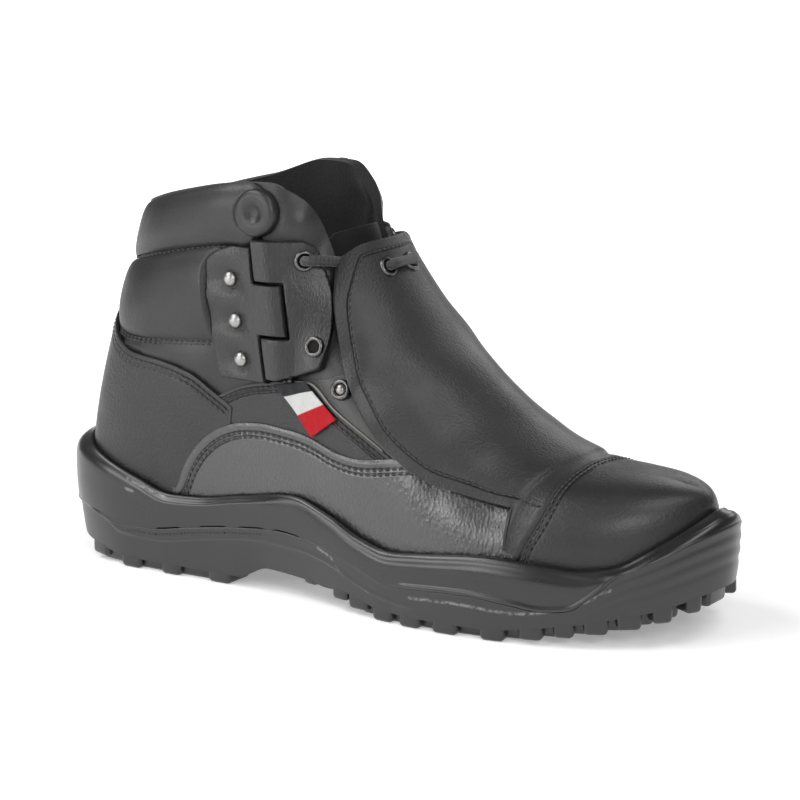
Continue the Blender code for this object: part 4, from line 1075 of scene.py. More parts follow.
    @staticmethod
    def marks(item: bpy.types.Object, name: str) -> Array:
        """Numbers kept on the points of a mesh."""
        values = np.empty(len(item.data.vertices), np.float32)
        item.data.attributes[name].data.foreach_get("value", values)
        return values

    def gauge(self, item: bpy.types.Object, name: str, lines: Sequence[Array]) -> None:
        """Keep on every point of a mesh its distance in millimetres from the nearest of some lines."""
        tree = tree_of(self.metres(np.concatenate([self.smooth(line, 0.5) for line in lines])))
        self.note(item, name, np.array([tree.find(vertex.co)[2] for vertex in item.data.vertices]) / MM)

    def turned(self, name: str, profile: Sequence[tuple[float, float]], steps: int = 32) -> bpy.types.Object:
        """Profile of (radius, height) turned about the upright axis at the origin, in millimetres."""
        bpy.ops.object.select_all(action="DESELECT")
        bpy.ops.mesh.primitive_circle_add(vertices=max(len(profile), 3), radius=1.0)
        item = self.added(name)
        if profile[0][0] == 0.0:
            with self.editing(item):
                bpy.ops.mesh.select_all(action="DESELECT")
            for edge in item.data.edges:
                edge.select = set(edge.vertices) == {0, len(profile) - 1}
            bpy.ops.object.mode_set(mode="EDIT")
            bpy.ops.mesh.delete(type="EDGE_FACE")
            bpy.ops.object.mode_set(mode="OBJECT")
        item.data.vertices.foreach_set("co", np.array([(r, 0.0, h) for r, h in profile], float).ravel())
        lathe = item.modifiers.new("lathe", "SCREW")
        lathe.steps = lathe.render_steps = steps
        lathe.use_merge_vertices = True
        lathe.merge_threshold = 0.001
        self.apply(item)
        self.mend(item, True, 1.0)
        return item

    def seat(self, item: bpy.types.Object, point: Array, axis: Array) -> None:
        """Stand a turned piece at a point of the tables' frame, its axis along a direction."""
        turn = np.array(Vector(axis).to_track_quat("Z", "Y").to_matrix())
        self.shape(item, self.places(item) @ turn.T + point)

    def tube(self, name: str, path: Array, radius: float, sides: int) -> bpy.types.Object:
        """Round tube along a path, closed at its ends, with its length on the flat map's first axis."""
        spots = self.smooth(path, radius * 0.45)
        run = unit(np.gradient(spots, axis=0))
        item, u, v = self.grid(name, len(spots), sides + 1)
        k = np.rint(u * (len(spots) - 1)).astype(int)
        side = unit(np.cross(run, np.array([0.31, 0.17, 0.93])))
        up = np.cross(side, run)
        ends = np.minimum(np.minimum(k, len(spots) - 1 - k) / 2.0, 1.0) ** 0.5
        turn = v * 2 * math.pi
        ring = np.cos(turn)[:, None] * side[k] + np.sin(turn)[:, None] * up[k]
        self.shape(item, spots[k] + radius * np.maximum(ends, 0.02)[:, None] * ring)
        self.mend(item, True, 0.03)
        return item

    @staticmethod
    def smooth(path: Array, step: float) -> Array:
        """Rounded path through points, with points a step apart."""
        path = np.asarray(path, float)
        chord = np.r_[0, np.cumsum(np.linalg.norm(np.diff(path, axis=0), axis=1) ** 0.5)]
        tangent = np.gradient(path, chord, axis=0)
        spots = []
        for k in range(len(path) - 1):
            d = chord[k + 1] - chord[k]
            for t in np.linspace(0, 1, 30, endpoint=False):
                spots.append(hermite(path[k], path[k + 1], d * tangent[k], d * tangent[k + 1], t))
        line = np.array(spots + [path[-1]])
        run = run_length(line)
        even = np.linspace(0, run[-1], max(int(run[-1] / step), 2))
        return np.stack([np.interp(even, run, line[:, k]) for k in range(3)], axis=-1)

    def join(self, name: str, items: Sequence[bpy.types.Object]) -> bpy.types.Object:
        """Join meshes into one piece."""
        bpy.ops.object.select_all(action="DESELECT")
        for item in items:
            item.select_set(True)
        bpy.context.view_layer.objects.active = items[0]
        if len(items) > 1:
            bpy.ops.object.join()
        items[0].name = items[0].data.name = name
        return items[0]


@dataclass
class Seams:
    """Rows of stitches: one stitch is modelled, repeated and bent along each row."""

    bench: Bench
    pitch: float = 3.0
    length: float = 2.3
    radius: float = 0.36

    def row(self, points: Array) -> bpy.types.Object:
        """Sew one row along points of the tables' frame."""
        bench = self.bench
        line = bench.smooth(points, 1.2)
        data = bpy.data.curves.new("sewing_line", "CURVE")
        data.dimensions = "3D"
        spline = data.splines.new("POLY")
        spline.points.add(len(line) - 1)
        spline.points.foreach_set("co", np.c_[bench.metres(line), np.ones(len(line))].ravel())
        path = bpy.data.objects.new("sewing_line", data)
        bpy.context.scene.collection.objects.link(path)
        bpy.ops.object.select_all(action="DESELECT")
        bpy.ops.mesh.primitive_uv_sphere_add(segments=6, ring_count=5, radius=self.radius * MM)
        item = bench.added("stitch_row")
        start = (0.0, 0.0, 0.0)
        with bench.editing(item):
            bpy.ops.transform.rotate(value=math.pi / 2, orient_axis="Y", center_override=start)
            bpy.ops.transform.resize(value=(self.length / 2 / self.radius, 1.0, 1.0), center_override=start)
            bpy.ops.transform.translate(value=(self.pitch / 2 * MM, 0.0, 0.0))
        repeat = item.modifiers.new("repeat", "ARRAY")
        repeat.fit_type = "FIXED_COUNT"
        repeat.count = max(int(run_length(line)[-1] / self.pitch), 1)
        repeat.use_relative_offset = False
        repeat.use_constant_offset = True
        repeat.constant_offset_displace = (self.pitch * MM, 0.0, 0.0)
        bend = item.modifiers.new("bend", "CURVE")
        bend.object = path
        bench.apply(item)
        bpy.data.objects.remove(path)
        return item

    def beside(self, a: Array, b: Array, lift: Number, offsets: Sequence[float]) -> list[Array]:
        """Lines beside an edge on the upper, at distances to the left of its run."""
        last = self.bench.last
        return [last.lifted(*last.aside(a, b, offset), lift) for offset in offsets]

    def sew(self, name: str, lines: Sequence[Array]) -> None:
        """Sew rows along lines, as one piece."""
        item = self.bench.join(name, [self.row(line) for line in lines])
        self.bench.settle(item, [self.bench.finishes.thread], "cord", angle=60)


@dataclass
class Sole:
    """Soft midsole tray and tread layer with lugs."""

    bench: Bench
    stations: int = 381
    tread: float = 4.5
    low_inset: float = 4.4
    proud: float = 0.3
    lug_root: float = 5.5
    lug_round: float = 1.9
    lug_taper: float = 1.6
    lug_lean: float = 1.2
    inner_row: float = 11.5
    inner_long: float = 9.0
    rib_shares: tuple[float, ...] = (0.16, 0.38, 0.62)
    rib_depth: float = 0.42
    bead_pitch: float = 1.8
    bead_radius: float = 0.62
    dashes: tuple[tuple[float, float], ...] = ((62, 74), (84.5, 98), (105, 118), (124, 138))

    def __post_init__(self) -> None:
        """Lay out the stations and the heights along the sole."""
        last = self.bench.last
        self.g = np.linspace(-1, 1, self.stations)
        self.edge, self.inward = last.outline(self.g)
        self.x = self.edge[:, 0]
        self.rim_z, self.parting, self.wide, self.root, self.ridge = (
            Track(rows)(last.feather(self.g)[0][:, 0] if rows is RIM else self.x)
            for rows in (RIM, PARTING, WIDEST, GROUND, RIDGE))
        top = last.level(self.g, self.rim_z)
        self.wall = [last.lifted(self.g, share * top, OVERLAY + GAP + 0.2) for share in (0.0, 0.5, 1.0)]
        self.wall[0][:, 2] = Track(FLOOR)(last.feather(self.g)[0][:, 0])
        self.lip = ((self.wall[2][:, :2] - self.edge) * self.inward).sum(-1)
        broad = blend(115, 160, self.x) * (1 - blend(262, 282, self.x))
        self.bead = np.minimum(2.4 + 1.3 * broad, np.maximum(0.75 * self.lip, 2.4))

    def inside(self, inset: Number, z: Number) -> Array:
        """Points inside the outline at a height."""
        spot = self.bench.last.outline(self.g, inset)[0]
        return np.c_[spot, np.broadcast_to(z, len(self.g))]

    def side(self, z: Array, more: Number = 0.0) -> Array:
        """Points of the sole's side at heights: widest at one height, drawn in above and below it."""
        above = np.clip((z - self.wide) / (self.wall[2][:, 2] - self.wide), 0, 1)
        below = np.clip((self.wide - z) / (self.wide - self.root), 0, 2)
        power = 2 + 4 * blend(280, 300, self.x) + 3.5 * (1 - blend(105, 150, self.x))
        upper = (self.lip - self.bead) * above ** power
        toe, heel = blend(278, 296, self.x), 1 - blend(4, 22, self.x)
        drawn = self.low_inset * (1 - 0.45 * toe - 0.4 * heel) + 0.6 * np.maximum(self.inward[:, 0], 0) ** 2
        return self.inside(np.where(z >= self.wide, upper, drawn * below ** 1.6) + more - 1.3 * toe, z)

    def middle(self, row: Array, share: float, z: Number) -> Array:
        """Row drawn towards the line half way between the two sides."""
        centre = (row + row[::-1]) / 2
        out = row + share * (centre - row)
        out[:, 2] = z
        return out

    def loft(self, name: str, rows: Sequence[Array]) -> bpy.types.Object:
        """Closed solid round the sole through rows of points."""
        item, u, v = self.bench.grid(name, self.stations, len(rows))
        table = np.array(rows)
        i, j = np.rint(u * (self.stations - 1)).astype(int), np.rint(v * (len(rows) - 1)).astype(int)
        self.bench.shape(item, table[j, i])
        self.bench.mend(item, True, 0.05)
        return item

    def build(self) -> None:
        """Make the midsole, the tread layer and its lugs."""
        self.build_midsole()
        self.build_tread()

    def build_midsole(self) -> None:
        """Tray with a rounded rim, a full side and a slotted lower edge."""
        rim, floor = self.rim_z, self.wall[0][:, 2]
        outer = self.g < 0
        slot = np.zeros(self.stations)
        for a, b in self.dashes:
            slot = np.maximum(slot, blend(a - 1.5, a + 1, self.x) * (1 - blend(b - 1, b + 1.5, self.x)))
        low = self.parting - 0.3 + 0.65 * slot * outer
        tall = rim - low
        bead = blend(182, 196, self.x) * (1 - blend(272, 282, self.x))
        rows = [self.middle(self.wall[0], 1.0, floor), self.middle(self.wall[0], 0.5, floor)] + self.wall
        for share, up in ((0.12, 0.55), (0.42, 0.95), (0.71, 0.8), (0.92, 0.25)):
            rows.append(self.inside(self.lip - share * self.bead, rim + up))
        for share in np.r_[np.linspace(0.03, 0.9, 22), 0.93, 0.96, 0.985]:
            z = rim - share * tall
            crease = 0.12 * np.exp(-((share - 0.2) / 0.05) ** 2) * blend(150, 190, self.x)
            swell = -0.9 * bead * np.exp(-((z - low - 1.3) / 1.0) ** 2)
            rows.append(self.side(z, crease + swell))
        core = np.minimum(self.parting, Track(FLOOR)(self.x) - 5.5) + 0.2
        shelf = np.where(self.parting - core > 0.5, 3.5, 6.0)
        rows += [self.side(low, 0.35), self.inside(shelf, low), self.inside(shelf, core)]
        rows += [self.middle(rows[-1], 0.5, core), self.middle(rows[-1], 1.0, core)]
        item = self.loft("sole_midsole", rows)
        self.bench.gauge(item, "worn", self.lines(HEEL_SCUFFS))
        self.bench.settle(item, [self.bench.finishes.midsole], "foam", ("midsole",), 50)

    def build_tread(self) -> None:
        """Tread layer with a ridge round its side and toe ribs, then its lugs."""
        bench = self.bench
        top = self.parting - 0.1
        core = np.minimum(self.parting, Track(FLOOR)(self.x) - 5.5) - 0.1
        foot = self.root + self.tread * (1 - 0.65 * blend(97, 104, self.x) * (1 - blend(146, 160, self.x)))
        tall = top - foot
        toe, back = blend(264, 284, self.x), 1 - blend(180, 200, self.x)
        shelf = np.where(top - core > 0.3, 3.2, 5.6)
        inner = self.inside(shelf, core)
        rows = [self.middle(inner, 1.0, core), self.middle(inner, 0.5, core), inner, self.inside(shelf, top)]
        for share in np.r_[0.0, 0.02, 0.05, np.linspace(0.08, 1.0, 34)]:
            z = top - share * tall
            ribs = sum(np.exp(-((share - place) / 0.07) ** 2) for place in self.rib_shares)
            under = 0.9 * blend(0, 1, (self.ridge + 0.9 - z) / 1.4) * (1 - toe) * back
            crest = -0.3 * np.exp(-((z - self.ridge - 1.2) / 0.9) ** 2) * back
            edge = {0.0: 0.25, 0.05: -0.15}.get(share, 0.0)
            rows.append(self.side(z, edge + self.rib_depth * toe * ribs + under + crest))
        tuck = ((rows[-1][:, :2] - self.edge) * self.inward).sum(-1) - self.proud
        rows += [self.middle(rows[-1], share, foot) for share in (0.04, 0.3, 0.65, 1.0)]
        layer = self.loft("sole_tread", rows)
        # The waist lines carry a painted highlight in the tread's colour.
        bench.gauge(layer, "worn", self.lines(WAIST_PAINTED_HIGHLIGHTS))
        bench.settle(layer, [bench.finishes.tread], "rubber", ("outsole",), 50)
        self.build_lugs(tuck)

    def build_lugs(self, tuck: Array) -> None:
        """Tread blocks round the edge and in the middle, and the bead row; tuck is the edge blocks' inset."""
        bench, lugs = self.bench, []
        ends = EDGE_LUGS[1:] + [(302, 7, 9)]
        for (x, wide, long), (end, _, _) in zip(EDGE_LUGS, ends):
            for side in (-1, 1):
                g = self.station(side, x)
                spot, inward = bench.last.outline(g, np.interp(g, self.g, tuck) + long / 2)
                lugs.append(self.lug(spot[0], inward[0], long, wide, lean=self.lug_lean))
                if end - x > 6.5 and not 86 < x < 160:
                    spot, inward = bench.last.outline(self.station(side, (x + end) / 2), self.inner_row)
                    lugs.append(self.lug(spot[0], inward[0], self.inner_long, end - x))
        for x, y, long, wide, slant in CENTRE_LUGS:
            lugs.append(self.lug((x, y), (0, 1), long, wide, slant))
        lugs.append(self.lug((12, 0), (1, 0), 12, 20))
        lugs.append(self.lug((298, 5.5), (-1, 0), 10, 15))
        item = bench.join("sole_lugs", lugs)
        bench.round_edges(item, self.lug_round, 4, 30)
        bench.apply(item)
        item = bench.join("sole_lugs", [item] + self.beads())
        bench.settle(item, [bench.finishes.lugs], "rubber", (), 40)

    def lines(self, tables: Sequence[Sequence[tuple[float, float]]]) -> list[Array]:
        """Lines on the outer side of the sole through (x, z) points."""
        out = []
        for table in tables:
            height = Track(table)
            near = np.flatnonzero((self.g < 0) & (self.x > table[0][0]) & (self.x < table[-1][0]))
            out.append(self.side(height(self.x))[near])
        return out

    def station(self, side: int, x: float) -> Array:
        """Station of the tread's edge at x on a side."""
        g = side * np.linspace(0.0, 1.0, 2001)
        return g[[np.argmin(np.abs(self.bench.last.outline(g, 3.2)[0][:, 0] - x))]]

    def lug(self, centre: Sequence[float], inward: Sequence[float], long: float, wide: float,
            slant: float = 0.0, lean: float = 0.0) -> bpy.types.Object:
        """Tapered tread block, flat at the ground; its outer face leans into the sole."""
        low, *ends = (float(Track(GROUND)(centre[0] + reach)) for reach in (0.0, wide / 2, -wide / 2))
        high = max(low, *ends) + self.tread + self.lug_root
        turn = math.radians(slant)
        way = unit(np.asarray(inward, float))
        way = np.array([way[0] * math.cos(turn) - way[1] * math.sin(turn),
                        way[0] * math.sin(turn) + way[1] * math.cos(turn)])
        along = np.array([-way[1], way[0]])
        bpy.ops.object.select_all(action="DESELECT")
        bpy.ops.mesh.primitive_cube_add(size=1.0)
        item = bpy.context.object
        corner = self.bench.places(item)
        grow = np.where(corner[:, 2:] > 0, self.lug_taper, 0.0)
        spot = (np.asarray(centre, float) + way * corner[:, :1] * (long + grow)
                + along * corner[:, 1:2] * (wide + grow)
                + way * lean * ((corner[:, 2:] > 0) & (corner[:, :1] < 0)))
        self.bench.shape(item, np.c_[spot, np.where(corner[:, 2] > 0, high, low)])
        self.bench.mend(item, True)
        return item

    def beads(self) -> list[bpy.types.Object]:
        """Fine row of beads under the parting line on the outer heel."""
        out = []
        for x in np.arange(46.0, 119.0, self.bead_pitch):
            near = int(np.argmin(np.abs(self.x - x) + 999 * (self.g > 0)))
            z = np.full(self.stations, self.parting[near] - 2.6)
            spot = self.side(z, 0.25)[near]
            bpy.ops.object.select_all(action="DESELECT")
            bpy.ops.mesh.primitive_ico_sphere_add(subdivisions=1, radius=1.0)
            item = bpy.context.object
            self.bench.shape(item, self.bench.places(item) * self.bead_radius + spot)
            out.append(item)
        return out


@dataclass
class Upper:
    """Hollow leather shell with its lining, and the tongue."""

    bench: Bench
    columns: int = 321
    rows: int = 49
    wall: float = 2.4
    pad: float = 3.2
    tongue_thick: float = 4.0

    def build(self) -> None:
        """Make the shell and the tongue."""
        self.build_shell()
        self.build_tongue()

    def bulge(self, g: Array, t: Array) -> Array:
        """Padding that stands out of the shell: the collar's front and the strip above the counter."""
        spot = self.bench.last.place(g, t)
        x, z = spot[:, 0], spot[:, 2]
        front = 2.4 * np.exp(-((x - 127) / 9.0) ** 2 - ((z - 157) / 8.0) ** 2)
        low = Track(ROLL_LOW)(x) - 2.8 - Track(COUNTER_TOP)(x)
        share = (z - Track(COUNTER_TOP)(x)) / np.maximum(low, 1.0)
        strip = 1.6 * np.sqrt(np.clip(1 - (2 * share - 1) ** 2, 0, 1)) * (1 - blend(84, 96, x))
        return front + strip

    def build_shell(self) -> None:
        """Shell open at the collar, the throat and underneath, its inside lined."""
        bench, last = self.bench, self.bench.last
        item = bench.panel("upper_shell", (self.columns, self.rows), lambda u, v: (2 * u - 1, v), self.bulge)
        g, t = self.coordinates()
        full = 1 + self.pad / self.wall
        height = last.place(g, t)[:, 2]
        padded = (1 - blend(0.40, 0.45, np.abs(g))) * blend(92, 112, height)
        weights = (1 + (full - 1) * padded) / full
        for material in (bench.finishes.smooth, bench.finishes.lining):
            item.data.materials.append(material)
        bench.thicken(item, self.wall * full, 1.6, weights, True)
        bench.mend(item, False, 0.02)
        bench.settle(item, [], "leather", ("upper",), 55)

    def coordinates(self) -> tuple[Array, Array]:
        """Stations and shares of the shell's points, in the grid's own order."""
        u, v = np.meshgrid(np.linspace(0, 1, self.columns), np.linspace(0, 1, self.rows))
        return 2 * u.ravel() - 1, v.ravel()

    def build_tongue(self) -> None:
        """Padded tongue behind the throat."""
        bench = self.bench
        track = Track([(k, *row) for k, row in enumerate(TONGUE)])
        item, u, v = bench.grid("padded_tongue", 49, 61)
        k, w = v * (len(TONGUE) - 1), 2 * u - 1
        x, z, half, fall = (track(k, column) for column in range(4))
        along = unit(np.stack([track(k + 0.05, 0) - track(k - 0.05, 0),
                               track(k + 0.05, 1) - track(k - 0.05, 1)], axis=-1))
        drop = (fall * w * w)[:, None] * np.stack([-along[:, 1], along[:, 0]], axis=-1)
        bench.shape(item, np.stack([x + drop[:, 0], 1.0 + half * w, z + drop[:, 1]], axis=-1))
        outward = np.stack([along[:, 1], np.zeros(len(u)), -along[:, 0]], axis=-1)
        bench.face(item, outward)
        bench.thicken(item, self.tongue_thick, 1.5)
        bench.settle(item, [bench.finishes.tongue], "lining", ("tongue",), 55)


@dataclass
class Panels:
    """Leather overlays on the shell: counter, vamps, quarters and toe cap, with their seams."""

    bench: Bench
    seams: Seams
    bevel: float = 0.5
    vamp_lift: float = OVERLAY + 0.3
    toe_lift: float = 1.4
    quarter_lift: float = OVERLAY - 0.4

    def __post_init__(self) -> None:
        """Work out the panels' edges once."""
        last = self.bench.last
        self.g = np.linspace(0.0, 1.0, 601)
        self.edges = {}
        for side in (-1, 1):
            for name, rows in (("vamp", VAMP_TOP), ("counter", COUNTER_TOP), ("quarter", QUARTER_TOP),
                               ("gusset", GUSSET_TOP)):
                self.edges[name, side] = last.level(side * self.g, Track(rows))

    def edge(self, name: str, g: Array) -> Array:
        """Shares of a panel's edge at stations."""
        outer = np.interp(np.abs(g), self.g, self.edges[name, -1])
        return np.where(g < 0, outer, np.interp(np.abs(g), self.g, self.edges[name, 1]))

    def vamp_rise(self, g: Array, _: Array) -> Array:
        """Lift of the vamp, drawn in where the toe cap laps over it."""
        return self.vamp_lift - (self.vamp_lift - 0.8) * blend(0.60, 0.73, np.abs(g))

    def build(self) -> None:
        """Make every overlay and sew it."""
        self.build_counter()
        for side in Side:
            self.build_vamp(side)
            self.build_quarter(side)
        self.build_toe_cap()

    def close(self, item: bpy.types.Object, finish: bpy.types.Material, node: Sequence[str], edge: Array,
              rows: Sequence[Array], stitches: str) -> None:
        """Mark a panel's edge and sewn rows, give it its wall, dress it and sew it."""
        self.bench.gauge(item, "edge", [edge])
        self.bench.gauge(item, "seam", rows)
        self.bench.thicken(item, LEATHER, self.bevel)
        self.bench.settle(item, [finish], "leather", node)
        self.seams.sew(stitches, rows)

    def build_counter(self) -> None:
        """Heel overlay, its front ends under the vamps."""
        bench, last = self.bench, self.bench.last

        def low(g: Array) -> Array:
            """Shares of the lower edge."""
            return np.where(np.abs(g) < VAMP_START - 0.002, 0.0, self.edge("vamp", g) - 0.05)

        def high(g: Array) -> Array:
            """Shares of the upper edge."""
            return np.maximum(self.edge("counter", g), low(g) + 0.01)

        def where(u: Array, v: Array) -> tuple[Array, Array]:
            """Stations and shares of the counter's points."""
            g = 0.335 * (2 * u - 1)
            return g, low(g) + (high(g) - low(g)) * v

        def lift(g: Array, _: Array) -> Array:
            """Lift off the upper, more at the back."""
            return OVERLAY + 0.9 * at_back(g)

        run = np.linspace(-0.33, 0.33, 300)
        top, rise = high(run), lift(run, run)
        rows = self.seams.beside(run, top, rise, (2.7, 4.7))
        item = bench.panel("heel_counter", (301, 61), where, lift)
        self.close(item, bench.finishes.counter, ("counter",), last.lifted(run, top, rise), rows,
                   "counter_stitches")

    def build_vamp(self, side: Side) -> None:
        """Grained side of the forefoot with a folded, double sewn edge."""
        bench, last = self.bench, self.bench.last
        start, end = VAMP_START + 0.001, TOE_SEAM + 0.004

        def where(u: Array, v: Array) -> tuple[Array, Array]:
            """Stations and shares of the vamp's points."""
            g = side.value * (start + (end - start) * u)
            return g, self.edge("vamp", g) * v

        run = side.value * np.linspace(start + 0.0005, 0.62, 300)
        foot = np.linspace(0.02, 0.97, 30) * self.edge("vamp", run[:1])
        a, b = np.r_[np.full(30, run[0]), run], np.r_[foot, self.edge("vamp", run)]
        a, b = last.smooth_path(a, b, 1.5)
        rows = self.seams.beside(a, b, self.vamp_lift, (side.value * 4.0, side.value * 5.9))
        name = "vamp_" + side.label
        item = bench.panel(name + "_side", (301, 81), where, self.vamp_rise)
        self.close(item, bench.finishes.grain, (name,), last.lifted(a, b, self.vamp_lift), rows,
                   name + "_stitches")

    def build_quarter(self, side: Side) -> None:
        """Quarter panel with a pale cut front edge, over the gusset with the low eyelet."""
        bench, last = self.bench, self.bench.last

        def span(edge: str, start: float, end: float) -> Callable[[Array, Array], tuple[Array, Array]]:
            """Way to lay a panel between the vamp and an edge."""
            def where(u: Array, v: Array) -> tuple[Array, Array]:
                """Stations and shares of the panel's points."""
                g = side.value * (start + (end - start) * u)
                low = self.edge("vamp", g) - 0.05
                high = np.maximum(self.edge(edge, g), low + 0.02)
                return g, low + (high - low) * v
            return where

        name = "quarter_" + side.label
        item = bench.panel("gusset_" + side.label + "_side", (81, 41), span("gusset", 0.37, 0.61), 0.75)
        bench.thicken(item, 0.5, 0.2)
        bench.settle(item, [bench.finishes.gusset], "leather")
        run = side.value * np.linspace(0.292, 0.585, 280)
        high = self.edge("quarter", run)
        rows = self.seams.beside(run, high, self.quarter_lift, (side.value * 2.0, side.value * 3.8))
        item = bench.panel(name + "_side", (191, 49), span("quarter", 0.29, 0.60), self.quarter_lift)
        self.close(item, bench.finishes.counter, (name,), last.lifted(run, high, self.quarter_lift), rows,
                   name + "_stitches")
        run = side.value * np.linspace(0.432, 0.575, 80)
        line = last.lifted(run, self.edge("quarter", run), self.quarter_lift - 0.45)
        item = bench.tube(name + "_cut_edge", line, 0.5, 8)
        bench.settle(item, [bench.finishes.cut], "leather")

    def build_toe_cap(self) -> None:
        """Toe overlay behind a raised, double sewn seam."""
        bench, last = self.bench, self.bench.last
        shares = np.linspace(0, 1, 61)
        starts = {side: self.toe_start(side, shares) for side in (-1, 1)}

        def where(u: Array, v: Array) -> tuple[Array, Array]:
            """Stations and shares of the toe cap's points."""
            start = np.where(u < 0.5, np.interp(v, shares, starts[-1]), np.interp(v, shares, starts[1]))
            share = start + (1.0 - start) * (1 - np.abs(2 * u - 1)) ** 1.15
            return np.where(u < 0.5, -1.0, 1.0) * share, v

        rows = []
        for gap in (0.0, 3.3, 5.2):
            halves = []
            for side in (-1, 1):
                t = np.linspace(0.06, 0.985, 90)
                g = side * np.interp(t, shares, starts[side])
                ways = (last.aside(g, t, sign * gap) for sign in (-1, 1))
                ahead = max(ways, key=lambda spot: np.abs(spot[0]).mean())
                halves.append(last.lifted(*ahead, self.toe_lift + 0.15))
            rows.append(np.r_[halves[0], halves[1][::-1]])
        edge, rows = rows[0], rows[1:]
        item = bench.panel("toe_cap_leather", (221, 81), where, 0.0)
        bench.mend(item, False, 0.1)
        self.soften(item)
        bench.gauge(item, "edge", [edge])
        back = bench.marks(item, "edge")
        bench.swell(item, self.toe_lift + 0.5 * np.exp(-((back - 1.2) / 1.6) ** 2))
        self.close(item, bench.finishes.toe, ("toe_cap",), edge, rows, "toe_seam_stitches")

    def toe_start(self, side: int, t: Array) -> Array:
        """Stations at which sections meet the toe cap's back edge, by share."""
        edge = Track(TOE_EDGE)
        low, high = np.full(len(t), 0.64), np.full(len(t), 0.82)
        for _ in range(30):
            middle = (low + high) / 2
            spot = self.bench.last.place(side * middle, t)
            behind = spot[:, 0] < edge(spot[:, 2])
            low, high = np.where(behind, middle, low), np.where(behind, high, middle)
        return low

    def soften(self, item: bpy.types.Object) -> None:
        """Smooth the crest of the toe, where the sections meet."""
        spots = self.bench.places(item) / MM + self.bench.last.middle
        crest = (spots[:, 2] > 55) & (spots[:, 0] > 262) | (spots[:, 0] > 282) & (spots[:, 2] > 50)
        self.bench.relax(item, crest, 24)


@dataclass
class Collar:
    """Padded collar: top band with pressed discs, and the roll below it."""

    bench: Bench
    seams: Seams
    drop: float = 2.0
    tall: float = 22.5
    skin: float = 0.9
    band_puff: float = 4.4
    roll_puff: float = 5.0
    disc: tuple[float, float] = (112.6, 159.6)
    disc_profile: tuple[tuple[float, float], ...] = (
        (0.0, 2.7), (1.2, 2.75), (2.3, 3.1), (3.2, 3.65), (4.0, 4.15), (4.9, 4.45), (6.2, 4.6), (7.5, 4.55),
        (8.5, 4.3), (9.3, 3.8), (9.75, 3.1), (9.95, 2.1), (9.95, 0.3), (9.0, 0.0), (0.0, 0.0))

    def build(self) -> None:
        """Make the band, its discs and the roll."""
        self.build_band()
        self.build_roll()
        for side in Side:
            self.build_disc(side)

    @staticmethod
    def pillow(v: Array, edge: float = 0.16) -> Array:
        """Share of padding across a strip, round at both edges."""
        return np.maximum(np.clip(1 - np.abs(2 * v - 1) ** 2.4, 0, 1) ** 0.55, edge)

    def build_band(self) -> None:
        """Padded band under the collar's rim."""
        bench, last = self.bench, self.bench.last
        tall = Track(BAND_END)
        item, u, v = bench.grid("collar_top_band", 221, 33)
        g = 0.352 * (2 * u - 1)
        middle = last.place(g, np.ones_like(g))[:, 2] - self.drop - self.tall / 2
        t = last.level(g, middle + self.tall * tall(np.abs(g)) * (v - 0.5))
        ends = np.clip((0.354 - np.abs(g)) / 0.02, 0, 1) ** 0.5
        spot = last.place(g, t)
        off = np.hypot(spot[:, 0] - self.disc[0], spot[:, 2] - self.disc[1])
        full = self.band_puff * (1 - 0.5 * at_back(g))
        lift = GAP + full * self.pillow(v) * np.maximum(ends, 0.2)
        lift = np.minimum(lift, GAP + 1.0 + self.band_puff * blend(6.5, 11.0, off))
        self.lay(item, g, t, lift, "collar_band")

    def lay(self, item: bpy.types.Object, g: Array, t: Array, lift: Array, node: str) -> None:
        """Lay a padded strip on the upper and dress it."""
        bench, normal = self.bench, self.bench.last.normal(g, t)
        bench.shape(item, bench.last.place(g, t) + lift[:, None] * normal)
        bench.face(item, normal)
        bench.thicken(item, self.skin)
        bench.settle(item, [bench.finishes.smooth], "leather", (node,), 60)

    def build_roll(self) -> None:
        """Padded roll between the two sewn channels."""
        bench, last = self.bench, self.bench.last
        item, u, v = bench.grid("collar_middle_roll", 201, 41)
        g = (VAMP_START + 0.045) * (2 * u - 1)
        low, high = last.level(g, Track(ROLL_LOW)), last.level(g, Track(ROLL_HIGH))
        t = low + (high - low) * v
        spot = last.place(g, t)
        fade = 1 - 0.75 * blend(-0.8, 1.0, spot[:, 0] - Track(REAR_EDGE)(spot[:, 2]))
        fade = fade * (1 - 0.42 * at_back(g))
        self.lay(item, g, t, GAP + self.roll_puff * self.pillow(v) * fade, "collar_roll")
        run = np.linspace(-0.285, 0.285, 220)
        rows = []
        for table, gap in ((ROLL_LOW, -1.1), (ROLL_LOW, -2.4), (ROLL_HIGH, 0.8)):
            base = Track(table)
            rows.append(last.lifted(run, last.level(run, lambda x: base(x) + gap), 0.5))
        self.seams.sew("collar_stitches", rows)

    def build_disc(self, side: Side) -> None:
        """Round pressed end of the band."""
        bench = self.bench
        item = bench.turned("collar_disc_" + side.label, self.disc_profile, 48)
        base = bench.last.at_side(side.value, *self.disc)
        axis = unit(bench.last.at_side(side.value, *self.disc, 1.0) - base)
        bench.seat(item, base + axis * (GAP + 0.2), axis)
        bench.settle(item, [bench.finishes.smooth], "leather", (), 50)


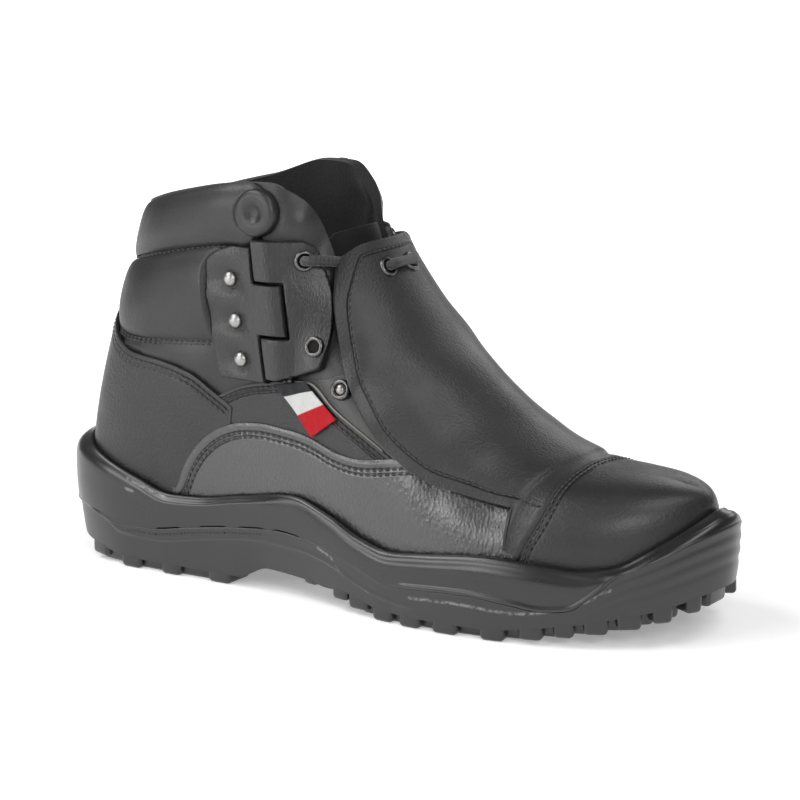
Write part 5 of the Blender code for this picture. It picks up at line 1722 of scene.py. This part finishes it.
@dataclass
class Guard:
    """Metatarsal guard: padded leather with a sewn border, its foot sewn down behind the toe cap."""

    bench: Bench
    seams: Seams
    thick: float = 3.2
    border: float = 5.4
    foot: tuple[float, float] = (5.2, 8.0)
    pressed: tuple[float, float] = (6.6, 9.85)
    tail: tuple[tuple[float, float, float], ...] = (
        (236.5, 54.3, 3.1), (240.3, 53.6, 2.5), (245.4, 53.0, 1.9))

    def build(self) -> GuardForm:
        """Make the guard and sew its border."""
        bench = self.bench
        form = GuardForm(bench.last)
        item, u, v = bench.grid("guard_flap", 181, 221)
        a, b = 10 * v, 2 * u - 1
        points = form.place(a, b)
        normal = form.normal(a, b)
        foot = a > self.foot[0]
        points[foot] = self.sewn_down(points[foot], a[foot])
        bench.shape(item, points)
        bench.face(item, normal)
        bench.relax(item, (a > self.pressed[0]) & (a < self.pressed[1]) & (np.abs(b) < 0.97), 160)
        row = self.border_row(form)
        bench.gauge(item, "seam", [row])
        bench.thicken(item, self.thick, 0.8, 1.0 - 0.7 * blend(6.5, 8.6, a))
        bench.settle(item, [bench.finishes.flap], "leather", ("met_guard",), 50)
        self.seams.sew("guard_stitches", [row])
        return form

    def sewn_down(self, points: Array, a: Array) -> Array:
        """Points near the toe seam, drawn down onto the vamp."""
        last = self.bench.last
        out = points.copy()
        for side in (-1, 1):
            own = (points[:, 1] < 2.8) == (side < 0)
            g, t, spots = last.coarse[side]
            tree = tree_of(spots)
            near = [tree.find(point)[1] for point in points[own]]
            g, t = last.snap(points[own], g[near], t[near])
            lift = 3.6 - 2.2 * blend(7.6, 9.9, a[own])
            g = g + side * 0.014 * blend(9.3, 10.0, a[own])
            share = blend(*self.foot, a[own])[:, None]
            out[own] += share * (last.lifted(g, np.minimum(t, 1.0), lift) - out[own])
        return out

    def border_row(self, form: GuardForm) -> Array:
        """Stitched line inside the guard's free edges."""
        k = np.linspace(0.95, 7.45, 70)
        w = np.linspace(-0.70, 0.70, 40)
        outer = form.aside(k, np.full(70, -0.999), self.border)
        inner = form.aside(k, np.full(70, 0.999), -self.border)
        top = form.aside(np.full(40, 0.02), w, -self.border * 0.8)
        a, b = np.concatenate([[c[::-1] for c in outer], top, inner], axis=1)
        row = form.lifted(a, b)
        foot = a > self.foot[0]
        row[foot] = self.sewn_down(row[foot], a[foot])
        x, z, lift = np.array(self.tail).T
        ends = [self.bench.last.at_side(side, x, z, lift) for side in (-1, 1)]
        return np.concatenate([ends[0][::-1], row, ends[1]])


@dataclass
class Hinge:
    """Side hinge: a riveted rear leaf and a front leaf whose loops take turns round one pin."""

    bench: Bench
    thick: float = 2.5
    gap: float = 1.25
    loop: float = 5.8
    slit: float = 0.32
    play: float = 0.3
    sunk: float = 0.6
    top: tuple[float, float] = (117.4, 147.0)
    low: tuple[float, float] = (126.7, 91.0)
    breaks: tuple[float, float] = (110.0, 131.3)
    rivet: tuple[tuple[float, float], ...] = (
        (0.0, -1.0), (2.9, -1.0), (2.95, 0.0), (2.75, 0.35), (2.3, 0.85), (1.7, 1.3), (0.9, 1.6), (0.0, 1.7))

    def axis(self, z: Number) -> Array:
        """Hinge axis: x at a height."""
        share = (self.top[1] - np.asarray(z, float)) / (self.top[1] - self.low[1])
        return self.top[0] + (self.low[0] - self.top[0]) * share

    @staticmethod
    def spread(start: Array, end: Array, rows: int) -> Array:
        """Columns between two edges, closer together at both ends."""
        u = np.linspace(0, 1, rows)
        u = 0.5 - 0.5 * np.cos(np.pi * u) * (1 - 0.35 * np.sin(np.pi * u) ** 2)
        return start[:, None] + (end - start)[:, None] * u[None, :]

    def sheet(self, name: str, parts: Sequence[tuple[Array, Array, Array]], side: int, columns: int,
              lift: Callable[[Array, Array, Array], Array]) -> bpy.types.Object:
        """Leaf from strips that share edges.

        Args:
            name: the piece's name.
            parts: heights, and x of the back and fore edges, of each strip.
            side: the sign of the boot's side.
            columns: points across each strip.
            lift: height over the upper by x, z and the distance from the leaf's rim.

        Returns:
            The leaf.
        """
        bench, made = self.bench, []
        for z, back, fore in parts:
            item, u, v = bench.grid(name, columns, len(z))
            i = np.rint(u * (columns - 1)).astype(int)
            j = np.rint(v * (len(z) - 1)).astype(int)
            x = self.spread(back, fore, columns)
            flat = np.stack([x[j, i], np.zeros(len(i)), z[j]], axis=-1)
            item.data.vertices.foreach_set("co", (flat * MM).ravel())
            made.append(item)
        item = bench.join(name, made)
        bench.mend(item, False, 0.01)
        flat = bench.places(item) / MM
        rim = self.rim(item, flat)
        rise = lift(flat[:, 0], flat[:, 2], rim)
        a, b = bench.last.find(side, flat[:, 0], flat[:, 2])
        normal = bench.last.normal(a, b)
        bench.shape(item, bench.last.place(a, b) + rise[:, None] * normal)
        bench.face(item, normal)
        free = flat[:, 0] > self.axis(flat[:, 2]) + self.loop + 3.0
        bench.relax(item, free & (rim > 1.4), 240)
        return item

    @staticmethod
    def rim(item: bpy.types.Object, flat: Array) -> Array:
        """Distance of every point from the sheet's open edges."""
        edges: dict[tuple[int, int], int] = {}
        for polygon in item.data.polygons:
            for key in polygon.edge_keys:
                edges[key] = edges.get(key, 0) + 1
        ends = np.array([key for key, count in edges.items() if count == 1])
        a, b = flat[ends[:, 0]], flat[ends[:, 1]]
        run = b - a
        long = np.maximum((run * run).sum(-1), 1e-9)
        out = np.empty(len(flat))
        for k, point in enumerate(flat):
            share = np.clip(((point - a) * run).sum(-1) / long, 0, 1)
            out[k] = np.sqrt((((a + share[:, None] * run) - point) ** 2).sum(-1).min())
        return out

    @staticmethod
    def dents(x: Array, z: Array, spots: Sequence[tuple[float, float]], deep: float, wide: float) -> Array:
        """Hollows pressed round metal pieces."""
        return sum(-deep * np.exp(-((x - a) ** 2 + (z - b) ** 2) / wide ** 2) for a, b in spots)

    def knuckle(self, x: Array, z: Array) -> Array:
        """Swell of the loops over the pin."""
        return np.exp(-((x - self.axis(z)) / 5.2) ** 2)

    def risen(self, body: Number, rim: Array) -> Array:
        """Lift of a leaf's face, rounded down at its rim."""
        near = np.clip(rim, 0, 1)
        return self.gap - self.sunk + body * np.sqrt(np.clip(1 - (1 - near) ** 2, 0, 1))

    def rear_lift(self, x: Array, z: Array, rim: Array) -> Array:
        """Lift of the rear leaf: loops over the pin, waves between the rivets, hollows round them."""
        off = x - self.axis(z)
        swell = 1.5 * self.knuckle(x, z) + 1.1 * blend(-16, -4, off) * (1 - blend(2, 8, off))
        wave = -0.45 * np.cos((z - RIVETS[0][1]) / 8.2 * math.pi) * (1 - blend(-14, -8, off))
        return self.risen(self.thick + 0.6 + swell + wave + self.dents(x, z, RIVETS, 1.5, 4.6), rim)

    def front_lift(self, x: Array, z: Array, rim: Array) -> Array:
        """Lift of the front leaf: loops over the pin, hollows round the eyelets."""
        swell = 2.1 * self.knuckle(x, z) + 0.5 * (1 - blend(0, 18, x - self.axis(z)))
        return self.risen(self.thick + 0.9 + swell + self.dents(x, z, LEAF_EYELETS, 0.7, 5.5), rim)

    def facing_lift(self, x: Array, z: Array, rim: Array) -> Array:
        """Lift of the plain facing on the inner side."""
        return self.risen(self.thick + 0.6, rim) + self.dents(x, z, LEAF_EYELETS, 0.4, 5.5)

    @staticmethod
    def heights(low: float, high: float, stops: Sequence[float]) -> Array:
        """Heights about a millimetre apart, closer at the ends and at the stops."""
        z = list(np.arange(low, high, 1.0)) + [high]
        for stop in (low, high, *stops):
            z += [stop + d for d in (-1.2, -0.7, -0.3, -0.1, 0.0, 0.1, 0.3, 0.7, 1.2)]
        z = np.unique(np.round([k for k in z if low <= k <= high], 3))
        return z[np.r_[True, np.diff(z) > 0.06]]

    def build(self) -> None:
        """Make both leaves, the inner facing and the rivets."""
        self.build_rear()
        self.build_front()
        self.build_facing()
        self.build_rivets()

    def build_rear(self) -> None:
        """Rear leaf with its loop between the breaks."""
        low, high = self.breaks
        z = self.heights(90.3, 145.6, (low, high))
        tabs = z[(z >= low) & (z <= high)]
        parts = [(z, Track(REAR_EDGE)(z), self.axis(z) - self.loop - self.slit),
                 (tabs, self.axis(tabs) - self.loop - self.slit, self.axis(tabs) + self.loop)]
        item = self.sheet("hinge_rear_flap", parts, -1, 33, self.rear_lift)
        self.close(item, ("hinge_rear_leaf", "hinge_pin"))

    def build_front(self) -> None:
        """Front leaf with its loops above and below the breaks."""
        low, high = self.breaks[0] - self.play, self.breaks[1] + self.play
        z = self.heights(92.0, 149.0, (low, high))
        parts = [(z, self.axis(z) + self.loop + self.slit, Track(FORE_EDGE)(z))]
        for own in (z[z <= low], z[z >= high]):
            parts.append((own, self.axis(own) - self.loop, self.axis(own) + self.loop + self.slit))
        self.close(self.sheet("hinge_front_flap", parts, -1, 37, self.front_lift), ("hinge_front_leaf",))

    def build_facing(self) -> None:
        """Plain facing on the inner side."""
        z = self.heights(96.0, 148.0, ())
        back = Track([(96, 112), (101, 104), (109, 100), (127, 100), (140, 101), (145, 105), (148, 117)])(z)
        front = Track([(96, 138), (99, 147)] + FORE_EDGE[3:])(z)
        self.close(self.sheet("inner_facing", [(z, back, front)], 1, 41, self.facing_lift), ("facing_inner",))

    def build_rivets(self) -> None:
        """Domed heads of the rear leaf's rivets."""
        bench = self.bench
        for k, (x, z) in enumerate(RIVETS):
            item = bench.turned("rivet_head_%d" % (k + 1), self.rivet, 28)
            axis = bench.last.at_side(-1, x, z, 1.0) - bench.last.at_side(-1, x, z)
            bench.seat(item, bench.last.at_side(-1, x, z, self.gap + self.thick - 0.4), axis)
            bench.settle(item, [bench.finishes.nickel], "steel", ("rivet_%d" % (k + 1),), 45)

    def close(self, item: bpy.types.Object, nodes: Sequence[str]) -> None:
        """Give a leaf its back and dress it."""
        self.bench.thicken(item, 0.5)
        self.bench.settle(item, [self.bench.finishes.leaf], "leather", nodes, 50)


@dataclass
class Lacing:
    """Eyelets and the lace: three bars over the tongue and a short bar on the guard."""

    bench: Bench
    form: GuardForm
    cord: float = 2.1
    leaf_lift: float = 3.75
    ring: tuple[tuple[float, float], ...] = (
        (2.5, -1.4), (2.5, 0.5), (2.75, 1.0), (3.2, 1.25), (3.75, 1.15), (4.15, 0.75), (4.3, 0.2),
        (4.3, -1.4))
    dome: tuple[tuple[float, float], ...] = (
        (0.0, 1.5), (0.9, 1.4), (1.7, 1.0), (2.3, 0.4), (2.55, -0.4), (2.55, -1.2), (0.0, -1.2))
    # Flat near-black plug for an open eyelet, standing for the hole's shade: painted shade.
    flat: tuple[tuple[float, float], ...] = (
        (0.0, 0.12), (1.4, 0.12), (2.55, 0.1), (2.55, -1.2), (0.0, -1.2))

    def build(self) -> None:
        """Make the eyelets and the lace."""
        last = self.bench.last
        for side in Side:
            for k, (x, z) in enumerate(EYELETS):
                lift = self.leaf_lift if k < 2 else OVERLAY
                point = last.at_side(side.value, x, z, lift)
                axis = unit(point - last.at_side(side.value, x, z))
                name = "eyelet_%s_%d" % (side.label, k + 1)
                self.eyelet(name, point, axis, k == 2)
        ends = []
        for side, w in zip(Side, GUARD_EYELETS):
            a, b = np.array([0.75]), np.array([w])
            point, axis = self.form.place(a, b)[0], self.form.normal(a, b)[0]
            self.eyelet("guard_eyelet_" + side.label, point, axis, False)
            ends.append((point, axis))
        self.build_bars()
        span = unit(ends[1][0] - ends[0][0])
        path = []
        for (point, axis), way in zip(ends, (1.0, -1.0)):
            path.append([point - axis * 0.8, point + axis * 1.6, point + axis * 3.2 + span * way * 1.6,
                         point + axis * 3.7 + span * way * 4.0])
        item = self.bench.tube("guard_lace_bar", np.array(path[0] + path[1][::-1]), self.cord, 16)
        self.bench.settle(item, [self.bench.finishes.lace], "cord", ("guard_lace",), 60)

    def eyelet(self, name: str, point: Array, axis: Array, hook: bool) -> None:
        """Ring at a point; a near-black flat plug fills its hole as painted shade, or a domed stud fills it.
        """
        bench = self.bench
        item = bench.turned(name + "_ring", self.ring, 32)
        bench.seat(item, point, axis)
        bench.settle(item, [bench.finishes.dark_nickel], "steel", (name,), 45)
        core = bench.turned(name + "_core", self.dome if hook else self.flat, 24)
        bench.seat(core, point, axis)
        bench.settle(core, [bench.finishes.stud if hook else bench.finishes.hole], "steel", (), 45)

    def build_bars(self) -> None:
        """Lace bars from eyelet to eyelet over the tongue."""
        last = self.bench.last
        for k, ((x, z), (mid_x, mid_z, tuck)) in enumerate(zip(EYELETS, LACE_MIDDLES)):
            seat = self.leaf_lift if k < 2 else OVERLAY
            top, path = np.array([mid_x, 1.0, mid_z]), []
            for side in (-1, 1):
                hole = last.at_side(side, x, z, seat)
                axis = unit(hole - last.at_side(side, x, z))
                rise = hole + axis * (self.cord + 1.6)
                turn = rise + np.array([9.0, -tuck * side, 0.6 + 2.2 * k])
                if k == 0:
                    half = [hole - axis * 0.6, hole + axis * 1.4, rise + np.array([0.9, 0, 0.1])]
                    arch = (rise + np.array([1.6, 0, 0.2]), turn, top + np.array([0, side * 18.5, 0]), top)
                    half += [bezier(arch, t) for t in (0.16, 0.34, 0.52, 0.7, 0.87)]
                else:
                    deep = hole - axis * 9.0
                    half = [hole - axis * 0.3, hole - axis * 4.0, deep + np.array([1.5, 0, 0.5])]
                    half += [deep + (top - deep) * t for t in (0.4, 0.7)]
                path.append(half)
            spots = np.array(path[0] + [top] + path[1][::-1])
            item = self.bench.tube("lace_row_%d" % (k + 1), spots, self.cord, 16)
            self.bench.settle(item, [self.bench.finishes.lace], "cord", ("lace_bar_%d" % (k + 1),), 60)


@dataclass
class Label:
    """Small plain tab hanging from under the front leaf."""

    bench: Bench
    corners: tuple[tuple[float, float], ...] = ((124, 90.8), (139.5, 93), (156.7, 80), (143.9, 71.1))
    thick: float = 0.8

    def build(self) -> None:
        """Make the tab."""
        bench = self.bench
        a, b, c, d = (np.array(corner, float) for corner in self.corners)
        item, u, v = bench.grid("woven_label", 25, 33)
        left, right = a + (d - a) * v[:, None], b + (c - b) * v[:, None]
        flat = left + (right - left) * u[:, None]
        curl = 0.35 * np.sin(v * 5.0) + 0.5 * v ** 4
        g, t = bench.last.find(-1, flat[:, 0], flat[:, 1])
        normal = bench.last.normal(g, t)
        bench.shape(item, bench.last.place(g, t) + (OVERLAY + GAP + 0.8 + curl)[:, None] * normal)
        bench.face(item, normal)
        bench.thicken(item, self.thick, 0.2)
        bench.settle(item, [bench.finishes.tab], "tab", ("side_label",), 50)


class Studio:
    """Floor, light and the camera at the photograph's angle."""

    azimuth = 32.0
    elevation = 13.0
    distance = 1300.0
    aim = (154.0, 0.0, 70.0)
    lens = 140.45
    shift = (0.0099, 0.0280)
    reach = 1.6
    lamps = (("left", -118.0, 14.0, (1.5, 0.4), 10.0), ("rear", -145.0, 52.0, (1.0, 0.8), 14.0),
             ("right", 0.0, 60.0, (0.9, 0.7), 7.0), ("front", -42.0, 27.0, (0.8, 0.5), 9.0),
             ("far", 90.0, 22.0, (1.2, 0.5), 4.0), ("side", -106.0, 38.0, (0.5, 0.3), 3.2))
    daylight = 0.15

    def __init__(self, bench: Bench) -> None:
        """Keep the bench."""
        self.bench = bench

    def build(self) -> None:
        """Make the floor, the lights, the world and the camera."""
        bpy.ops.object.select_all(action="DESELECT")
        bpy.ops.mesh.primitive_plane_add(size=12.0)
        floor = bpy.context.object
        floor.name = "floor"
        floor.data.materials.append(self.bench.finishes.floor)
        a, e = math.radians(self.azimuth), math.radians(self.elevation)
        back = np.array([math.sin(a) * math.cos(e), -math.cos(a) * math.cos(e), math.sin(e)])
        aim = np.array(self.aim)
        data = bpy.data.cameras.new("camera")
        data.lens, data.sensor_width = self.lens, 36.0
        data.shift_x, data.shift_y = self.shift
        data.clip_start, data.clip_end = 0.01, 50.0
        camera = bpy.data.objects.new("camera", data)
        bpy.context.scene.collection.objects.link(camera)
        camera.location = self.bench.metres(aim + back * self.distance)
        camera.rotation_mode = "QUATERNION"
        camera.rotation_quaternion = Vector(-back).to_track_quat("-Z", "Y")
        bpy.context.scene.camera = camera
        world = bpy.data.worlds.new("studio")
        bpy.context.scene.world = world
        world.use_nodes = True
        sky = world.node_tree.nodes["Background"].inputs
        sky["Color"].default_value = (1.0, 1.0, 1.0, 1.0)
        sky["Strength"].default_value = self.daylight
        bpy.context.scene.view_settings.view_transform = "Standard"
        for name, azimuth, elevation, size, watts in self.lamps:
            self.light(name, azimuth, elevation, size, watts)

    def light(self, name: str, azimuth: float, elevation: float, size: tuple[float, float],
              watts: float) -> None:
        """Large soft light aimed at the boot."""
        a, e = math.radians(azimuth), math.radians(elevation)
        way = Vector((math.cos(e) * math.cos(a), math.cos(e) * math.sin(a), math.sin(e)))
        data = bpy.data.lights.new(name, "AREA")
        data.shape = "RECTANGLE"
        data.size, data.size_y = size
        data.energy = watts
        lamp = bpy.data.objects.new(name, data)
        bpy.context.scene.collection.objects.link(lamp)
        lamp.location = Vector((0.0, 0.0, 0.08)) + way * self.reach
        lamp.rotation_mode = "QUATERNION"
        lamp.rotation_quaternion = (-way).to_track_quat("-Z", "Y")


def main() -> None:
    """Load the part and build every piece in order."""
    logging.basicConfig(level=logging.INFO, format="%(message)s")
    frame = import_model()
    last = Last()
    bench = Bench(last, Finishes())
    seams = Seams(bench)
    Studio(bench).build()
    Sole(bench).build()
    Upper(bench).build()
    Panels(bench, seams).build()
    Collar(bench, seams).build()
    form = Guard(bench, seams).build()
    Hinge(bench).build()
    Lacing(bench, form).build()
    Label(bench).build()
    insole = frame["nodes"]["insole"]
    insole.data.materials.clear()
    insole.data.materials.append(bench.finishes.lining)


if __name__ == "__main__":
    main()
